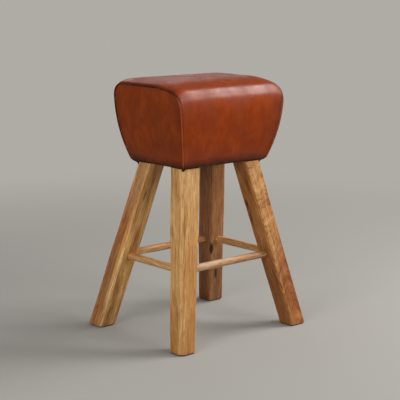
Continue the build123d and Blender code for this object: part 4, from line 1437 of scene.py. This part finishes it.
# Studio: a pale floor that runs out of sight, under even light. A tall soft box at the right
# draws the shine along the seat's front edge, two more stand at the front and the left, and a
# weak one stands behind. The camera looks down a little, with a slight roll.
floor_reach = 40.0
floor_colour = (0.40, 0.385, 0.354)
floor_fade = (0.6, 3.0)
floor_mirrored_fade = (0.35, 1.4)
floor_mirrored = 0.35
backdrop_colour = (0.43, 0.414, 0.380)
air_colour, air_level = (1.0, 1.0, 1.0), 0.25
backdrop_top = (0.20, 0.46)
ceiling_level = 0.25
roll_direction = (0, -0.81, -0.58)
lamps = {
    "roll_light": ((2.475, -1.15, 2.58), (0, -0.1, 0.68), (0.95, 2.85), 109, roll_direction),
    "front_light": ((0.9, -3.1, 2.0), (0, 0, 0.45), (1.8, 1.4), 37, (0, 0, 1)),
    "left_light": ((-3.1, -0.9, 1.6), (0, 0, 0.45), (1.6, 1.6), 41, (0, 0, 1)),
    "back_light": ((1.8, 3.0, 2.6), (0, 0, 0.70), (1.6, 1.1), 6, (0, 0, 1)),
}
camera_place = (-2.3434, -2.5407, 1.0380)
camera_back = (-0.66690, -0.72156, 0.18599)
camera_roll = math.radians(0.5955)
camera_lens = 105.781

floor_corners = [(x * floor_reach, y * floor_reach, 0) for x, y in ((-1, -1), (1, -1), (1, 1), (-1, 1))]
floor = mesh_object("floor", floor_corners, [(0, 1, 2, 3)], smooth=False)
finish, tree, shader = new_material("pale_floor")
shader.inputs["Base Color"].default_value = (*floor_colour, 1.0)
shader.inputs["Roughness"].default_value = 0.85
shader.inputs["Specular IOR Level"].default_value = 0.1
away = vector_maths(tree, "LENGTH", place_on(tree))
rays = add(tree, "ShaderNodeLightPath").outputs
seen = maths(tree, "MULTIPLY", remap(tree, away, *floor_fade), rays["Is Camera Ray"])
mirrored = maths(tree, "MULTIPLY", remap(tree, away, *floor_mirrored_fade), rays["Is Glossy Ray"])
far = maths(tree, "ADD", seen, mirrored, clamp=True)
strength = remap(tree, rays["Is Glossy Ray"], 0.0, 1.0, 1.0, floor_mirrored)
glow = add(tree, "ShaderNodeEmission", {"Color": backdrop_colour, "Strength": strength}).outputs[0]
blend = add(tree, "ShaderNodeMixShader", {0: far, 1: shader.outputs[0], 2: glow}).outputs[0]
tree.links.new(blend, tree.nodes["Material Output"].inputs["Surface"])
floor.data.materials.append(finish)
floor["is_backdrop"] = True

# Each lamp is a soft box (place, target, size, watts), its second size along a direction.
for name, (lamp_place, target, size, power, along) in lamps.items():
    light = bpy.data.lights.new(name, "AREA")
    light.shape = "RECTANGLE"
    light.size, light.size_y = size
    light.energy = power
    lamp = into_scene(name, light)
    lamp.location = lamp_place
    back = (Vector(lamp_place) - Vector(target)).normalized()
    tall = (Vector(along) - back * back.dot(Vector(along))).normalized()
    lamp.rotation_mode = "QUATERNION"
    lamp.rotation_quaternion = Matrix((tall.cross(back), tall, back)).transposed().to_quaternion()

sky = bpy.data.worlds.new("studio_air")
sky.use_nodes = True
tree = sky.node_tree
air = tree.nodes["Background"]
air.inputs["Color"].default_value = (*air_colour, 1.0)
air.inputs["Strength"].default_value = air_level
rays = add(tree, "ShaderNodeLightPath").outputs
upward = add(tree, "ShaderNodeTexCoord").outputs["Generated"]
upward = add(tree, "ShaderNodeSeparateXYZ", {0: upward}).outputs[2]
fading = remap(tree, upward, *backdrop_top, 1.0, ceiling_level)
mirrored = add(tree, "ShaderNodeBackground", {"Color": backdrop_colour, "Strength": fading}).outputs[0]
pale = add(tree, "ShaderNodeBackground", {"Color": backdrop_colour, "Strength": 1.0}).outputs[0]
glossy = add(tree, "ShaderNodeMixShader", {0: rays["Is Glossy Ray"], 1: air.outputs[0], 2: mirrored}).outputs[0]
both = add(tree, "ShaderNodeMixShader", {0: rays["Is Camera Ray"], 1: glossy, 2: pale}).outputs[0]
tree.links.new(both, tree.nodes["World Output"].inputs["Surface"])
bpy.context.scene.world = sky

lens = bpy.data.cameras.new("camera")
lens.lens = camera_lens
lens.sensor_width = 36.0
lens.clip_end = 80.0
camera = into_scene("camera", lens)
camera.location = camera_place
camera.rotation_mode = "QUATERNION"
level = (-Vector(camera_back)).to_track_quat("-Z", "Y")
camera.rotation_quaternion = level @ Quaternion((0, 0, 1), camera_roll)
bpy.context.scene.camera = camera
bpy.context.scene.view_settings.view_transform = "Standard"

low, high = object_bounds()
